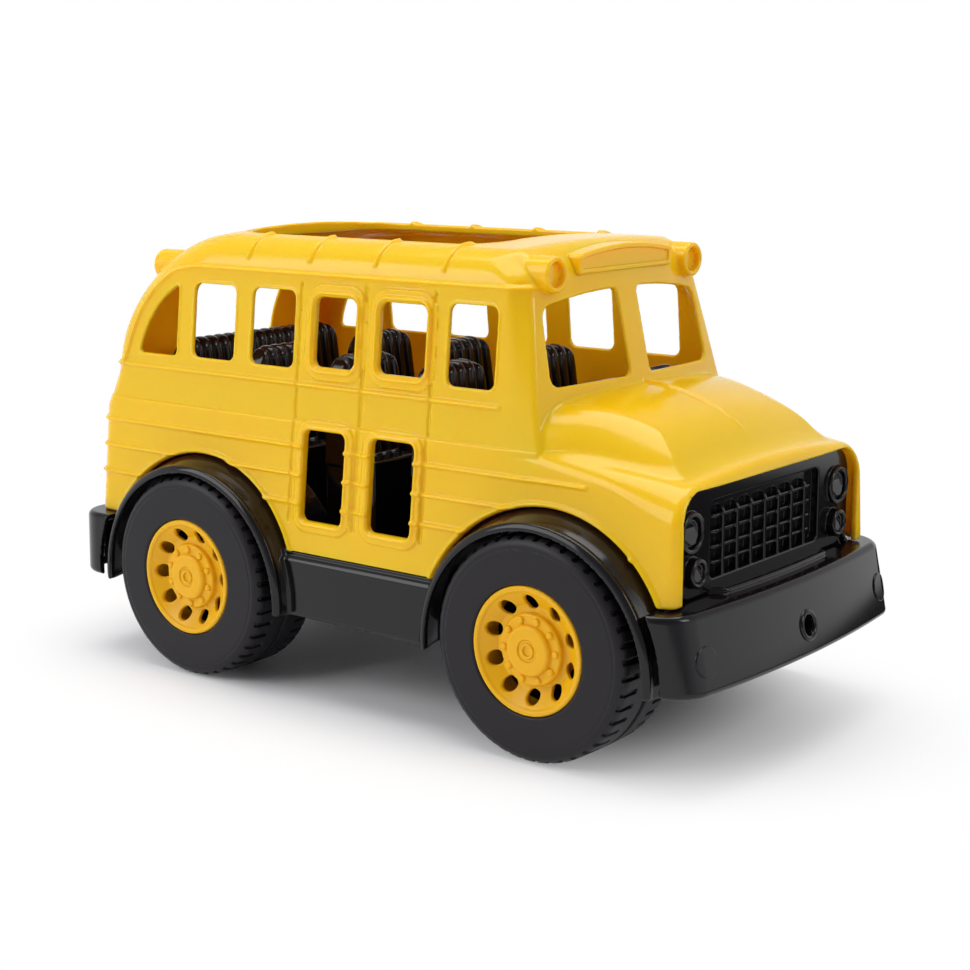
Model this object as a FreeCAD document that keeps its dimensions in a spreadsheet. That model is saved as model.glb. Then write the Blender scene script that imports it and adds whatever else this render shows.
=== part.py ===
"""A toy bus with an open roof, a seat tray and four big wheels, as separate moulded pieces.

The frame: +X is the front, +Y the left side and +Z up. The origin is on the floor, midway
between the two axles and between the two ends. All sizes are in millimetres.
"""
import FreeCAD, Part
import Sketcher
import math
import os
import re
from types import SimpleNamespace

from FreeCAD import Placement, Rotation, Vector

SIZES = {
    # Wheels and axles
    "half_wheelbase": 104.2, "tyre_radius": 50.0, "tyre_width": 41.3, "half_track": 96.6,
    "tyre_shoulder_radius": 44.6, "tyre_shoulder_depth": 4.0, "tyre_bore_radius": 28.8,
    "tyre_wall": 3.0, "tread_wall": 4.6, "tyre_back_inset": 0.6, "lug_depth": 2.2,
    "lug_gap_width": 2.6, "lug_reach": 9.0, "lug_count": 44.0,
    "rim_radius": 28.5, "rim_lip_width": 2.2, "rim_dish_depth": 8.5, "rim_wall": 2.4,
    "rim_barrel_length": 16.0, "hub_cap_radius": 11.3, "hub_cap_height": 5.0,
    "hub_cap_dimple_radius": 3.3, "hub_cap_dimple_depth": 1.2, "hub_sleeve_radius": 6.5,
    "hub_sleeve_length": 10.0, "hand_hole_radius": 3.25, "hand_hole_circle": 21.5,
    "hand_hole_count": 10.0, "rim_nut_radius": 2.0, "rim_nut_height": 1.6, "rim_nut_circle": 14.4,
    "wheel_back_radius": 28.4, "wheel_back_wall": 2.4, "wheel_back_inset": 3.0,
    "wheel_back_hub_radius": 7.5, "wheel_back_hub_length": 12.0,
    "axle_radius": 2.5, "axle_end_inset": 8.0, "running_clearance": 0.05,
    # The side walls and the cabin
    "sill_height": 70.5, "sill_half_width": 85.1, "wall_lean_angle": 6.0, "shell_wall": 2.2,
    "eave_height": 200.0, "roof_crest_half_width": 58.0, "roof_crest_height": 216.0,
    "roof_crown_height": 218.6, "end_reach": 189.0, "rear_wall_x": 188.0,
    "rear_wall_straight_top": 118.0, "rear_bend_x": 185.0, "rear_bend_height": 131.0,
    "rear_lean_foot_x": 180.0, "rear_lean_foot_height": 147.0, "rear_lean_head_x": 163.0,
    "rear_lean_head_height": 183.0, "rear_brow_x": 146.5, "rear_brow_height": 201.5,
    "rear_roof_x": 113.0, "rear_corner_radius": 20.0,
    "screen_foot_x": 97.6, "screen_foot_height": 157.3, "screen_head_x": 88.7,
    "screen_head_height": 196.4, "screen_half_width": 65.0, "screen_bow": 4.6, "pillar_depth": 17.0,
    "roof_front_x": 87.5, "roof_front_radius": 9.0,
    # Beads along the wall
    "bead_height": 1.2, "bead_width": 2.6, "drip_bead_height": 198.6, "belt_bead_height": 149.0,
    "bead_low_height": 93.7, "bead_mid_height": 107.0, "bead_high_height": 120.3,
    # The hood
    "hood_root_x": 60.0, "hood_root_crown": 155.5, "hood_root_edge": 136.0,
    "hood_foot_x": 98.0, "hood_foot_crown": 154.5, "hood_foot_edge": 133.0,
    "hood_mid_x": 126.0, "hood_mid_crown": 151.0, "hood_mid_edge": 129.0,
    "hood_bend_x": 151.0, "hood_bend_crown": 140.5, "hood_bend_edge": 125.5,
    "hood_lip_x": 160.0, "hood_lip_crown": 128.5, "hood_lip_edge": 123.0,
    "nose_x": 169.5, "nose_crown": 121.8, "nose_edge": 120.8, "nose_corner_radius": 15.0,
    "nose_bottom_height": 76.0, "nose_bottom_x": 150.0,
    "hood_rib_radius": 2.6, "hood_rib_rise": 1.0,
    # The openings of the shell
    "window_bottom": 156.0, "window_top": 192.0, "window_corner": 4.0, "door_window_bottom": 158.0,
    "window_2_back": -116.2, "window_2_front": -88.0, "window_3_back": -76.4,
    "window_3_front": -48.5, "window_4_back": -34.6, "window_4_front": -9.8,
    "window_5_back": 5.0, "window_5_front": 32.0, "window_6_back": 44.7, "window_6_front": 71.0,
    "window_1_back": -153.9, "window_1_front": -128.5, "window_1_crest": -133.0, "window_1_top": 188.3,
    "window_1_bulge": -146.4, "window_1_bulge_height": 174.6,
    "door_light_bottom": 85.8, "door_light_top": 128.5, "door_light_1_back": -37.0,
    "door_light_1_front": -11.5, "door_light_2_back": 4.5, "door_light_2_front": 30.0,
    "pane_inner_half_width": 7.8, "pane_inner_bottom": 157.8, "pane_inner_top": 196.0,
    "pane_outer_bottom": 158.2, "pane_outer_top": 190.8, "pane_outer_top_half_width": 62.6,
    "rear_window_half_width": 35.0, "rear_window_bottom": 155.0, "rear_window_top": 193.0,
    "roof_hole_back": -108.0, "roof_hole_front": 48.0, "roof_hole_half_width": 52.0,
    "roof_hole_corner": 18.0, "roof_lip_wall": 2.0, "roof_lip_bottom": 212.5,
    "nose_opening_half_width": 74.0, "nose_opening_top": 119.5,
    "arch_radius": 65.5, "arch_centre_height": 44.0,
    "post_radius": 4.5, "post_y": 36.0, "front_post_x": 140.0, "rear_post_x": -161.0,
    "post_web": 2.4, "post_web_height": 40.0,
    # What stands on the roof
    "lamp_half_spacing": 55.1, "lamp_height": 205.6, "lamp_radius": 8.0, "lamp_hole_radius": 5.7,
    "lamp_hole_depth": 3.5, "lamp_front_x": 90.0, "lamp_back_x": 70.0, "lamp_seam_angle": 45.0,
    "rear_lamp_height": 201.0,
    "rear_lamp_x": -157.5, "rear_lamp_root_x": -140.0,
    "sign_half_width": 37.0, "sign_bottom": 204.5, "sign_side_top": 213.0, "sign_crown": 216.6,
    "sign_front_x": 89.0, "sign_back_x": 80.0,
    "hoop_pitch": 40.2, "hoop_first_x": -82.0, "hoop_width": 3.0, "hoop_height": 1.4,
    # The chassis
    "skirt_bottom": 38.3, "skirt_half_width": 88.0, "skirt_wall": 3.0, "skirt_ledge_width": 10.0,
    "fender_outer_radius": 62.5, "fender_wall": 2.6, "fender_half_width": 95.0,
    "fender_flange_radius": 68.0, "fender_flange_y": 77.5, "fender_flange_wall": 2.0,
    "fender_tail_height": 40.0, "well_wall_y": 50.0, "well_wall": 2.2,
    "pan_top": 67.0, "pan_wall": 2.4, "pan_half_length": 170.0, "rail_half_width": 50.0,
    "rail_wall": 2.4, "rail_bottom": 44.0, "bearing_length": 12.0, "bearing_half_width": 9.0,
    "bearing_bottom": 40.0, "cross_wall": 3.0,
    # The keepers under the axles
    "keeper_wall": 2.6, "keeper_half_length": 15.0, "keeper_tongue_half_width": 4.0,
    "keeper_clearance": 0.15, "keeper_end_gap": 1.0, "keeper_boss_radius": 4.5,
    "keeper_boss_x": 11.0, "keeper_boss_y": 31.0,
    "screw_radius": 1.4, "screw_head_radius": 2.9, "screw_head_height": 1.8, "screw_length": 12.0,
    "screw_hole_clearance": 0.05,
    # The bumpers
    "bumper_bottom": 41.0, "bumper_top": 75.0, "bumper_half_width": 95.0, "bumper_corner": 16.0,
    "bumper_wall": 3.0, "bumper_flat_half_width": 77.4, "bumper_bow": 4.6, "bumper_slant": 7.3,
    "bumper_back_x": 156.0, "bumper_disc_radius": 7.0, "bumper_disc_height": 0.8,
    "bumper_disc_height_z": 55.3, "tow_hole_radius": 4.4, "tow_rim_radius": 6.3,
    "tow_rim_height": 1.2, "tow_hole_height": 55.0, "tow_sleeve_length": 9.0,
    "rear_bumper_top": 73.0, "bumper_boss_radius": 5.0,
    "bumper_boss_y": 42.0, "bumper_boss_height": 56.0,
    # The grille panel
    "grille_back_x": 159.0, "grille_wall": 1.6, "grille_depth": 5.0, "grille_half_width": 73.6,
    "grille_bottom": 75.5, "grille_top": 119.0, "grille_corner": 10.0,
    "mesh_half_width": 45.0, "mesh_bottom": 82.5, "mesh_top": 115.0, "bar_width": 3.2,
    "bar_pitch": 12.0, "cross_bar_width": 2.0, "cross_bar_pitch": 6.6,
    "headlight_y": 62.5, "headlight_height": 104.2, "headlight_radius": 9.0,
    "small_light_y": 61.0, "small_light_height": 87.2, "small_light_radius": 6.4,
    "light_wall": 1.6, "light_height": 3.6,
    # The seat tray
    "tray_wall": 2.4, "tray_half_width": 48.5, "tray_back_x": -155.0, "tray_front_x": 96.0,
    "seat_inner_y": 16.0, "seat_outer_y": 57.5, "seat_base_outer_y": 48.0, "seat_top": 160.9,
    "seat_base_top": 112.0, "seat_base_depth": 32.0, "seat_back_wall": 9.0,
    "seat_lean": 7.0, "seat_pitch": 54.0, "seat_front_x": 20.0, "seat_shoulder": 9.0,
    "bench_x": -142.0, "rib_pitch": 6.9, "rib_radius": 2.9,
    "dash_x": 91.0, "dash_depth": 6.5, "dash_height": 26.0, "dash_top": 155.5, "dash_half_width": 59.0,
    "dash_leg_half_width": 44.0,
    "steering_y": 39.0, "steering_height": 148.6, "steering_x": 69.2, "steering_radius": 14.5,
    "steering_rim_radius": 1.7, "steering_column_radius": 2.2, "steering_lean_angle": 25.0,
    # Shared
    "cut_overrun": 30.0, "form_reach": 190.0, "seat_gap": 0.3,
}
COUNT_OF_HOOPS = 4
COUNT_OF_ROWS = 3
REAR_LEAN_SHARE = 0.5
ARC_SHARE = math.sqrt(0.5)

doc = FreeCAD.newDocument("toy_bus")
sheet = doc.addObject("Spreadsheet::Sheet", "Sizes")
for row, (alias, number) in enumerate(SIZES.items(), start=1):
    sheet.set(f"A{row}", alias)
    sheet.set(f"B{row}", str(number))
    sheet.setAlias(f"B{row}", alias)
doc.recompute()
S = SimpleNamespace(**{alias: float(sheet.get(alias)) for alias in SIZES})

TURN_TO_Y = Rotation(Vector(1, 0, 0), -90)
TURN_TO_X = Rotation(Vector(0, 1, 0), 90)
HALF_TURN = Rotation(Vector(0, 0, 1), 180)
sub_parts = []


# Helpers that bind a document object's sizes to the sheet
def rule(text):
    """Give the expression for a rule written with the sheet's own names."""
    return re.sub(r"\b([a-z]\w*_\w+)\b", r"Sizes.\1", text)


def bind(thing, **rules):
    """Bind properties to rules; x, y and z are the place."""
    for name, text in rules.items():
        target = f".Placement.Base.{name}" if name in "xyz" else name
        thing.setExpression(target, rule(text))
    return thing


def box(name, length, width, height, x="0", y="0", z="0"):
    """Add a box whose corner is at x, y, z."""
    thing = doc.addObject("Part::Box", name)
    return bind(thing, Length=length, Width=width, Height=height, x=x, y=y, z=z)


def cylinder(name, radius, height, x="0", y="0", z="0", turn=None):
    """Add a cylinder that starts at x, y, z and runs along Z, or as turned."""
    thing = doc.addObject("Part::Cylinder", name)
    if turn is not None:
        thing.Placement = Placement(Vector(), turn)
    return bind(thing, Radius=radius, Height=height, x=x, y=y, z=z)


def fuse(name, things):
    """Join document objects."""
    thing = doc.addObject("Part::MultiFuse", name)
    thing.Shapes = things
    return thing


def cut(name, base, tools):
    """Take tools away from a document object."""
    thing = doc.addObject("Part::Cut", name)
    thing.Base = base
    thing.Tool = tools[0] if len(tools) == 1 else fuse(name + "_tools", tools)
    return thing


def name_part(thing, label):
    """Give a finished sub-part its label and list it."""
    thing.Label = label
    sub_parts.append(thing)
    return thing


def shape_part(label, shape):
    """Add a sub-part whose shape is made from surfaces."""
    thing = doc.addObject("Part::Feature", "Shaped_" + label)
    thing.Shape = shape
    return name_part(thing, label)


# Helpers for shapes made from outlines
def line(start, end):
    return Part.LineSegment(start, end).toShape()


def arc(start, middle, end):
    return Part.Arc(start, middle, end).toShape()


def polygon(points):
    """Give the face of a closed run of points."""
    return Part.Face(Part.makePolygon(list(points) + [points[0]]))


def rounded(points, radius):
    """Give the face of a convex outline of points with every corner rounded."""
    edges, starts, ends = [], [], []
    count = len(points)
    for index, corner in enumerate(points):
        before = (points[index - 1] - corner).normalize()
        after = (points[(index + 1) % count] - corner).normalize()
        half = before.getAngle(after) / 2
        reach = radius / math.tan(half)
        start, end = corner + before * reach, corner + after * reach
        inward = (before + after).normalize()
        middle = corner + inward * (radius / math.sin(half) - radius)
        edges.append((start, middle, end))
        starts.append(start)
        ends.append(end)
    run = []
    for index, (start, middle, end) in enumerate(edges):
        run.append(arc(start, middle, end))
        run.append(line(end, starts[(index + 1) % count]))
    return Part.Face(Part.Wire(run))


def upright(x, half_width, bottom, top, radius):
    """Give a rounded rectangle that stands across the length at x."""
    return rounded([Vector(x, -half_width, bottom), Vector(x, half_width, bottom), Vector(x, half_width, top),
                    Vector(x, -half_width, top)], radius)


def side_window(back, front, bottom, top, side):
    """Give a tool for one rounded window through the wall on one side."""
    corners = [Vector(back, 0, bottom), Vector(front, 0, bottom), Vector(front, 0, top),
               Vector(back, 0, top)]
    return rounded(corners, S.window_corner).extrude(Vector(0, side * S.half_track, 0))


def wall_y(height):
    """Give the outer face of the side wall at a height."""
    lean = math.tan(math.radians(S.wall_lean_angle))
    return S.sill_half_width - (height - S.sill_height) * lean


def flip(point):
    """Give a point's mirror image across the middle."""
    return Vector(point.x, -point.y, point.z)


def mirrored(shape):
    return shape.mirror(Vector(), Vector(0, 1, 0))


# The shell
def wall_bead(height, side):
    """Give the three points of one bead on the side wall."""
    half = S.bead_width / 2
    return [Vector(0, side * wall_y(height - half), height - half),
            Vector(0, side * (wall_y(height) + S.bead_height), height),
            Vector(0, side * wall_y(height + half), height + half)]


def cabin_section(inset, beads=()):
    """Give the cabin's cross-section, drawn in by an inset."""
    foot = Vector(0, S.sill_half_width, S.sill_height)
    eave = Vector(0, wall_y(S.eave_height), S.eave_height)
    crest = Vector(0, S.roof_crest_half_width, S.roof_crest_height)
    middle = Vector(0, crest.y + (eave.y - crest.y) * ARC_SHARE, eave.z + (crest.z - eave.z) * ARC_SHARE)
    crown = Vector(0, 0, S.roof_crown_height)
    side = [foot] + [point for height in beads for point in wall_bead(height, 1)] + [eave]
    edges = [line(a, b) for a, b in zip(side, side[1:])]
    edges.append(arc(eave, middle, crest))
    edges.append(arc(crest, crown, flip(crest)))
    edges.append(arc(flip(crest), flip(middle), flip(eave)))
    back = [flip(point) for point in reversed(side)]
    edges += [line(a, b) for a, b in zip(back, back[1:])]
    edges.append(line(flip(foot), foot))
    face = Part.Face(Part.Wire(edges))
    return face.makeOffset2D(-inset) if inset else face


def cabin_profile(inset):
    """Give the cabin's outline from the side, drawn in by an inset."""
    top = S.roof_crown_height + S.cut_overrun
    low = S.sill_height
    points = [Vector(-S.rear_wall_x, 0, low), Vector(-S.rear_wall_x, 0, S.rear_wall_straight_top),
              Vector(-S.rear_bend_x, 0, S.rear_bend_height),
              Vector(-S.rear_lean_foot_x, 0, S.rear_lean_foot_height),
              Vector(-S.rear_lean_head_x, 0, S.rear_lean_head_height),
              Vector(-S.rear_brow_x, 0, S.rear_brow_height),
              Vector(-S.rear_roof_x, 0, S.roof_crest_height)]
    roof_back = Vector(-S.rear_roof_x + S.cut_overrun, 0, S.roof_crown_height)
    front_top = Vector(S.roof_front_x - S.roof_front_radius, 0, S.roof_crown_height)
    front = Vector(S.roof_front_x, 0, S.roof_crown_height - S.roof_front_radius)
    middle = front_top + Vector(S.roof_front_radius * ARC_SHARE, 0, -S.roof_front_radius * (1 - ARC_SHARE))
    rake = (S.screen_foot_x - S.screen_head_x) / (S.screen_foot_height - S.screen_head_height)
    foot = Vector(S.screen_foot_x + rake * (low - S.screen_foot_height), 0, low)
    edges = [line(points[0], points[1]), arc(points[1], points[2], points[3]), line(points[3], points[4]),
             arc(points[4], points[5], points[6]), line(points[6], roof_back), line(roof_back, front_top),
             arc(front_top, middle, front), line(front, Vector(S.screen_head_x, 0, S.screen_head_height)),
             line(Vector(S.screen_head_x, 0, S.screen_head_height), foot), line(foot, points[0])]
    face = Part.Face(Part.Wire(edges))
    return face.makeOffset2D(-inset) if inset else face


def screen_prism(inset):
    """Give the raked prism that bows the windscreen and rounds its pillars."""
    edge_x = S.screen_foot_x - S.screen_bow
    wall_end = Vector(edge_x - S.pillar_depth, wall_y(S.screen_foot_height), 0)
    corner = Vector(edge_x, S.screen_half_width, 0)
    middle = Vector(wall_end.x + S.pillar_depth * ARC_SHARE,
                    corner.y + (wall_end.y - corner.y) * ARC_SHARE, 0)
    far = Vector(-S.form_reach, wall_end.y, 0)
    edges = [line(far, wall_end), arc(wall_end, middle, corner),
             arc(corner, Vector(S.screen_foot_x, 0, 0), flip(corner)),
             arc(flip(corner), flip(middle), flip(wall_end)), line(flip(wall_end), flip(far)),
             line(flip(far), far)]
    face = Part.Face(Part.Wire(edges))
    wide = face.makeOffset2D(-inset) if inset else face
    rise = S.roof_crown_height + S.cut_overrun - S.sill_height
    rake = (S.screen_foot_x - S.screen_head_x) / (S.screen_head_height - S.screen_foot_height)
    wide.translate(Vector(rake * (S.screen_foot_height - S.sill_height), 0, S.sill_height))
    prism = wide.extrude(Vector(-rake * rise, 0, rise))
    low = Part.makeBox(S.form_reach * 2, S.half_track * 2, S.window_bottom - S.sill_height,
                       Vector(-S.form_reach, -S.half_track, S.sill_height))
    return prism.fuse(low)


def corner_prism(inset, lean):
    """Give an upright or leaning prism that rounds the shell's corners in plan."""
    back = -S.rear_wall_x + inset
    if lean:
        wide = wall_y(S.rear_lean_foot_height) + S.bead_height - inset
        corners = [Vector(back, -wide, 0), Vector(S.form_reach * 2, -wide, 0),
                   Vector(S.form_reach * 2, wide, 0), Vector(back, wide, 0)]
        face = rounded(corners, S.rear_corner_radius)
        slope = (S.rear_lean_foot_x - S.rear_lean_head_x) / (S.rear_lean_head_height - S.rear_lean_foot_height)
        drop = S.rear_lean_foot_height - S.sill_height
        face.translate(Vector(S.rear_wall_x - S.rear_lean_foot_x - slope * drop, 0, S.sill_height))
        rise = S.roof_crown_height + S.cut_overrun - S.sill_height
        low = Part.makeBox(S.form_reach * 3, S.half_track * 2, S.rear_lean_foot_height - S.sill_height,
                           Vector(-S.form_reach, -S.half_track, S.sill_height))
        return face.extrude(Vector(slope * rise, 0, rise)).fuse(low)
    low_width = S.sill_half_width - inset
    front = S.nose_x - inset
    edges = rounded([Vector(back, -low_width, 0), Vector(front, -low_width, 0),
                     Vector(front, low_width, 0), Vector(back, low_width, 0)], S.nose_corner_radius)
    edges.translate(Vector(0, 0, S.sill_height))
    return edges.extrude(Vector(0, 0, S.roof_crown_height + S.cut_overrun - S.sill_height))


def hood_solid(inset):
    """Give the hood as a loft through its cross-sections, drawn in by an inset."""
    stations = [(S.hood_root_x, S.hood_root_crown, S.hood_root_edge),
                (S.hood_foot_x, S.hood_foot_crown, S.hood_foot_edge),
                (S.hood_mid_x, S.hood_mid_crown, S.hood_mid_edge),
                (S.hood_bend_x, S.hood_bend_crown, S.hood_bend_edge),
                (S.hood_lip_x, S.hood_lip_crown, S.hood_lip_edge),
                (S.nose_x - inset, S.nose_crown, S.nose_edge)]
    wires = []
    for x, crown, edge in stations:
        foot = Vector(x, S.sill_half_width - inset, S.sill_height)
        shoulder = Vector(x, wall_y(edge) - inset, edge - inset)
        wires.append(Part.Wire([line(foot, shoulder),
                                arc(shoulder, Vector(x, 0, crown - inset), flip(shoulder)),
                                line(flip(shoulder), flip(foot)), line(flip(foot), foot)]))
    return Part.makeLoft(wires, True, True)


def shell_solid(inset, beads=()):
    """Give the whole outer form of the shell as a solid, drawn in by an inset."""
    reach = Vector(S.form_reach * 2, 0, 0)
    section = cabin_section(inset, beads)
    section.translate(Vector(-S.form_reach, 0, 0))
    profile = cabin_profile(inset)
    profile.translate(Vector(0, -S.half_track, 0))
    cabin = section.extrude(reach).common(profile.extrude(Vector(0, S.half_track * 2, 0)))
    cabin = cabin.common(screen_prism(inset)).common(corner_prism(inset, True))
    return cabin.fuse(hood_solid(inset)).common(corner_prism(inset, False))


def windscreen_tools():
    """Give the two tools for the windscreen's panes."""
    pane = rounded([Vector(0, S.pane_inner_half_width, S.pane_inner_bottom),
                    Vector(0, S.screen_half_width, S.pane_outer_bottom),
                    Vector(0, S.pane_outer_top_half_width, S.pane_outer_top),
                    Vector(0, S.pane_inner_half_width, S.pane_inner_top)], S.window_corner)
    pane.translate(Vector(S.window_6_front, 0, 0))
    tool = pane.extrude(Vector(S.cut_overrun * 2, 0, 0))
    return [tool, mirrored(tool)]


def window_tools():
    """Give the tools for every window, door light and opening of the shell."""
    tools = windscreen_tools()
    rows = [(S.window_2_back, S.window_2_front), (S.window_3_back, S.window_3_front),
            (S.window_4_back, S.window_4_front), (S.window_5_back, S.window_5_front),
            (S.window_6_back, S.window_6_front)]
    for number, (back, front) in enumerate(rows, start=2):
        door = number in (4, 5)
        for side in (-1, 1):
            bottom = S.door_window_bottom if door and side < 0 else S.window_bottom
            tools.append(side_window(back, front, bottom, S.window_top, side))
    foot = Vector(S.window_1_back, 0, S.window_bottom)
    head = Vector(S.window_1_crest, 0, S.window_1_top)
    front_head = Vector(S.window_1_front, 0, S.window_1_top)
    front_foot = Vector(S.window_1_front, 0, S.window_bottom)
    bulge = Vector(S.window_1_bulge, 0, S.window_1_bulge_height)
    quarter = Part.Face(Part.Wire([arc(foot, bulge, head), line(head, front_head),
                                   line(front_head, front_foot), line(front_foot, foot)]))
    for side in (-1, 1):
        tools.append(quarter.extrude(Vector(0, side * S.half_track, 0)))
    for back, front in ((S.door_light_1_back, S.door_light_1_front),
                        (S.door_light_2_back, S.door_light_2_front)):
        tools.append(side_window(back, front, S.door_light_bottom, S.door_light_top, -1))
    wide = S.rear_window_half_width
    rear = upright(-S.form_reach, wide, S.rear_window_bottom, S.rear_window_top, S.window_corner)
    tools.append(rear.extrude(Vector(S.form_reach + S.bench_x, 0, 0)))
    nose_x = S.nose_x - S.shell_wall * 4
    nose = upright(nose_x, S.nose_opening_half_width, 0, S.nose_opening_top, S.grille_corner)
    tools.append(nose.extrude(Vector(S.cut_overrun, 0, 0)))
    for end in (-1, 1):
        tools.append(Part.makeCylinder(S.arch_radius, S.half_track * 2,
                                       Vector(end * S.half_wheelbase, -S.half_track, S.arch_centre_height),
                                       Vector(0, 1, 0)))
    tools.append(Part.makeBox(S.cut_overrun * 2, S.half_track * 2, S.nose_bottom_height,
                              Vector(S.nose_bottom_x, -S.half_track, 0)))
    tools.append(Part.makeBox(S.cut_overrun * 2, S.half_track * 2, S.rear_bumper_top,
                              Vector(-S.nose_bottom_x - S.cut_overrun * 2, -S.half_track, 0)))
    return tools


def roof_hole(grow, bottom):
    """Give a tool for the roof opening, grown by a margin."""
    corners = [Vector(S.roof_hole_back - grow, -S.roof_hole_half_width - grow, bottom),
               Vector(S.roof_hole_front + grow, -S.roof_hole_half_width - grow, bottom),
               Vector(S.roof_hole_front + grow, S.roof_hole_half_width + grow, bottom),
               Vector(S.roof_hole_back - grow, S.roof_hole_half_width + grow, bottom)]
    rise = S.roof_crown_height + S.cut_overrun - bottom
    return rounded(corners, S.roof_hole_corner + grow).extrude(Vector(0, 0, rise))


def roof_trim():
    """Give what stands on the roof: lamps, sign board and hoops."""
    things = []
    for side in (-1, 1):
        place = Vector(S.lamp_back_x, side * S.lamp_half_spacing, S.lamp_height)
        lamp = Part.makeCylinder(S.lamp_radius, S.lamp_front_x - S.lamp_back_x, place, Vector(1, 0, 0))
        lamp.rotate(place, Vector(1, 0, 0), S.lamp_seam_angle)
        things.append(lamp)
        place = Vector(S.rear_lamp_x, side * S.lamp_half_spacing, S.rear_lamp_height)
        depth = S.rear_lamp_root_x - S.rear_lamp_x
        things.append(Part.makeCylinder(S.lamp_radius, depth, place, Vector(1, 0, 0)))
    low = Vector(S.sign_back_x, S.sign_half_width, S.sign_bottom)
    high = Vector(S.sign_back_x, S.sign_half_width, S.sign_side_top)
    crown = Vector(S.sign_back_x, 0, S.sign_crown)
    board = Part.Face(Part.Wire([line(low, high), arc(high, crown, flip(high)),
                                 line(flip(high), flip(low)), line(flip(low), low)]))
    things.append(board.extrude(Vector(S.sign_front_x - S.sign_back_x, 0, 0)))
    wide = cabin_section(0)
    wide = wide.makeOffset2D(S.hoop_height)
    for number in range(COUNT_OF_HOOPS):
        hoop = wide.copy()
        hoop.translate(Vector(S.hoop_first_x + number * S.hoop_pitch - S.hoop_width / 2, 0, 0))
        hoop = hoop.extrude(Vector(S.hoop_width, 0, 0))
        above = Part.makeBox(S.form_reach * 2, S.half_track * 2, S.cut_overrun,
                             Vector(-S.form_reach, -S.half_track, S.lamp_height))
        things.append(hoop.common(above))
    return things


def lamp_hole_tools():
    """Give the tools for the cupped faces of the front lamps."""
    return [Part.makeCylinder(S.lamp_hole_radius, S.cut_overrun,
                              Vector(S.lamp_front_x - S.lamp_hole_depth,
                                     side * S.lamp_half_spacing, S.lamp_height),
                              Vector(1, 0, 0)) for side in (-1, 1)]


def hood_rib():
    """Give the round rib along the middle of the hood."""
    depth = S.hood_rib_radius - S.hood_rib_rise
    points = [Vector(S.hood_foot_x, 0, S.hood_foot_crown - depth),
              Vector(S.hood_mid_x, 0, S.hood_mid_crown - depth),
              Vector(S.hood_bend_x, 0, S.hood_bend_crown - depth)]
    pieces = [Part.makeSphere(S.hood_rib_radius, point) for point in points[1:]]
    for start, end in zip(points, points[1:]):
        pieces.append(Part.makeCylinder(S.hood_rib_radius, (end - start).Length, start, end - start))
    return pieces


def screw_posts(outer):
    """Give the four posts that stand on the pan, with webs to the rear wall."""
    posts = []
    for side in (-1, 1):
        for x in (S.front_post_x, S.rear_post_x):
            posts.append(Part.makeCylinder(S.post_radius, S.hood_mid_crown - S.pan_top,
                                           Vector(x, side * S.post_y, S.pan_top)))
        web = Part.makeBox(S.rear_wall_x + S.rear_post_x, S.post_web, S.post_web_height,
                           Vector(-S.rear_wall_x, side * S.post_y - S.post_web / 2,
                                  S.rear_bumper_top + S.post_web))
        posts.append(web)
    low = Part.makeBox(S.form_reach * 2, S.half_track * 2, S.post_web * 4,
                       Vector(-S.form_reach, -S.half_track, S.pan_top - S.post_web))
    solid = posts[0].multiFuse(posts[1:])
    rear_top = Part.makeBox(S.form_reach, S.half_track * 2, S.form_reach,
                            Vector(-S.form_reach, -S.half_track,
                                   S.rear_bumper_top + S.post_web + S.post_web_height))
    holes = [Part.makeCylinder(S.screw_radius + S.screw_hole_clearance, S.screw_length,
                               Vector(x, side * S.post_y, S.pan_top - S.post_web))
             for side in (-1, 1) for x in (S.front_post_x, S.rear_post_x)]
    return solid.common(outer.fuse(low)).cut([rear_top] + holes)


def body_shell():
    """Give the yellow shell: roof, walls and hood in one moulding."""
    beads = (S.bead_low_height, S.bead_mid_height, S.bead_high_height, S.belt_bead_height, S.drip_bead_height)
    outer = shell_solid(0, beads)
    inner = shell_solid(S.shell_wall)
    below = Part.makeBox(S.form_reach * 2, S.half_track * 2, S.sill_height + S.shell_wall * 4,
                         Vector(-S.form_reach, -S.half_track, 0))
    room = shell_solid(S.shell_wall).common(below)
    room.translate(Vector(0, 0, -S.shell_wall * 2))
    shell = outer.multiFuse(roof_trim() + hood_rib()).cut(inner).cut(room)
    lip = roof_hole(S.roof_lip_wall, S.roof_lip_bottom).common(outer)
    shell = shell.fuse(lip)
    shell = shell.cut([roof_hole(0, S.window_bottom)] + window_tools() + lamp_hole_tools())
    return shell.fuse(screw_posts(outer))


shape_part("body_shell", body_shell())


# The chassis
def both_sides(name, length, width, height, x, y, z):
    """Add a box and its mirror image across the middle."""
    left = box(name + "_left", length, width, height, x, y, z)
    right = box(name + "_right", length, width, height, x, f"-({y}) - ({width})", z)
    return [left, right]


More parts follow.
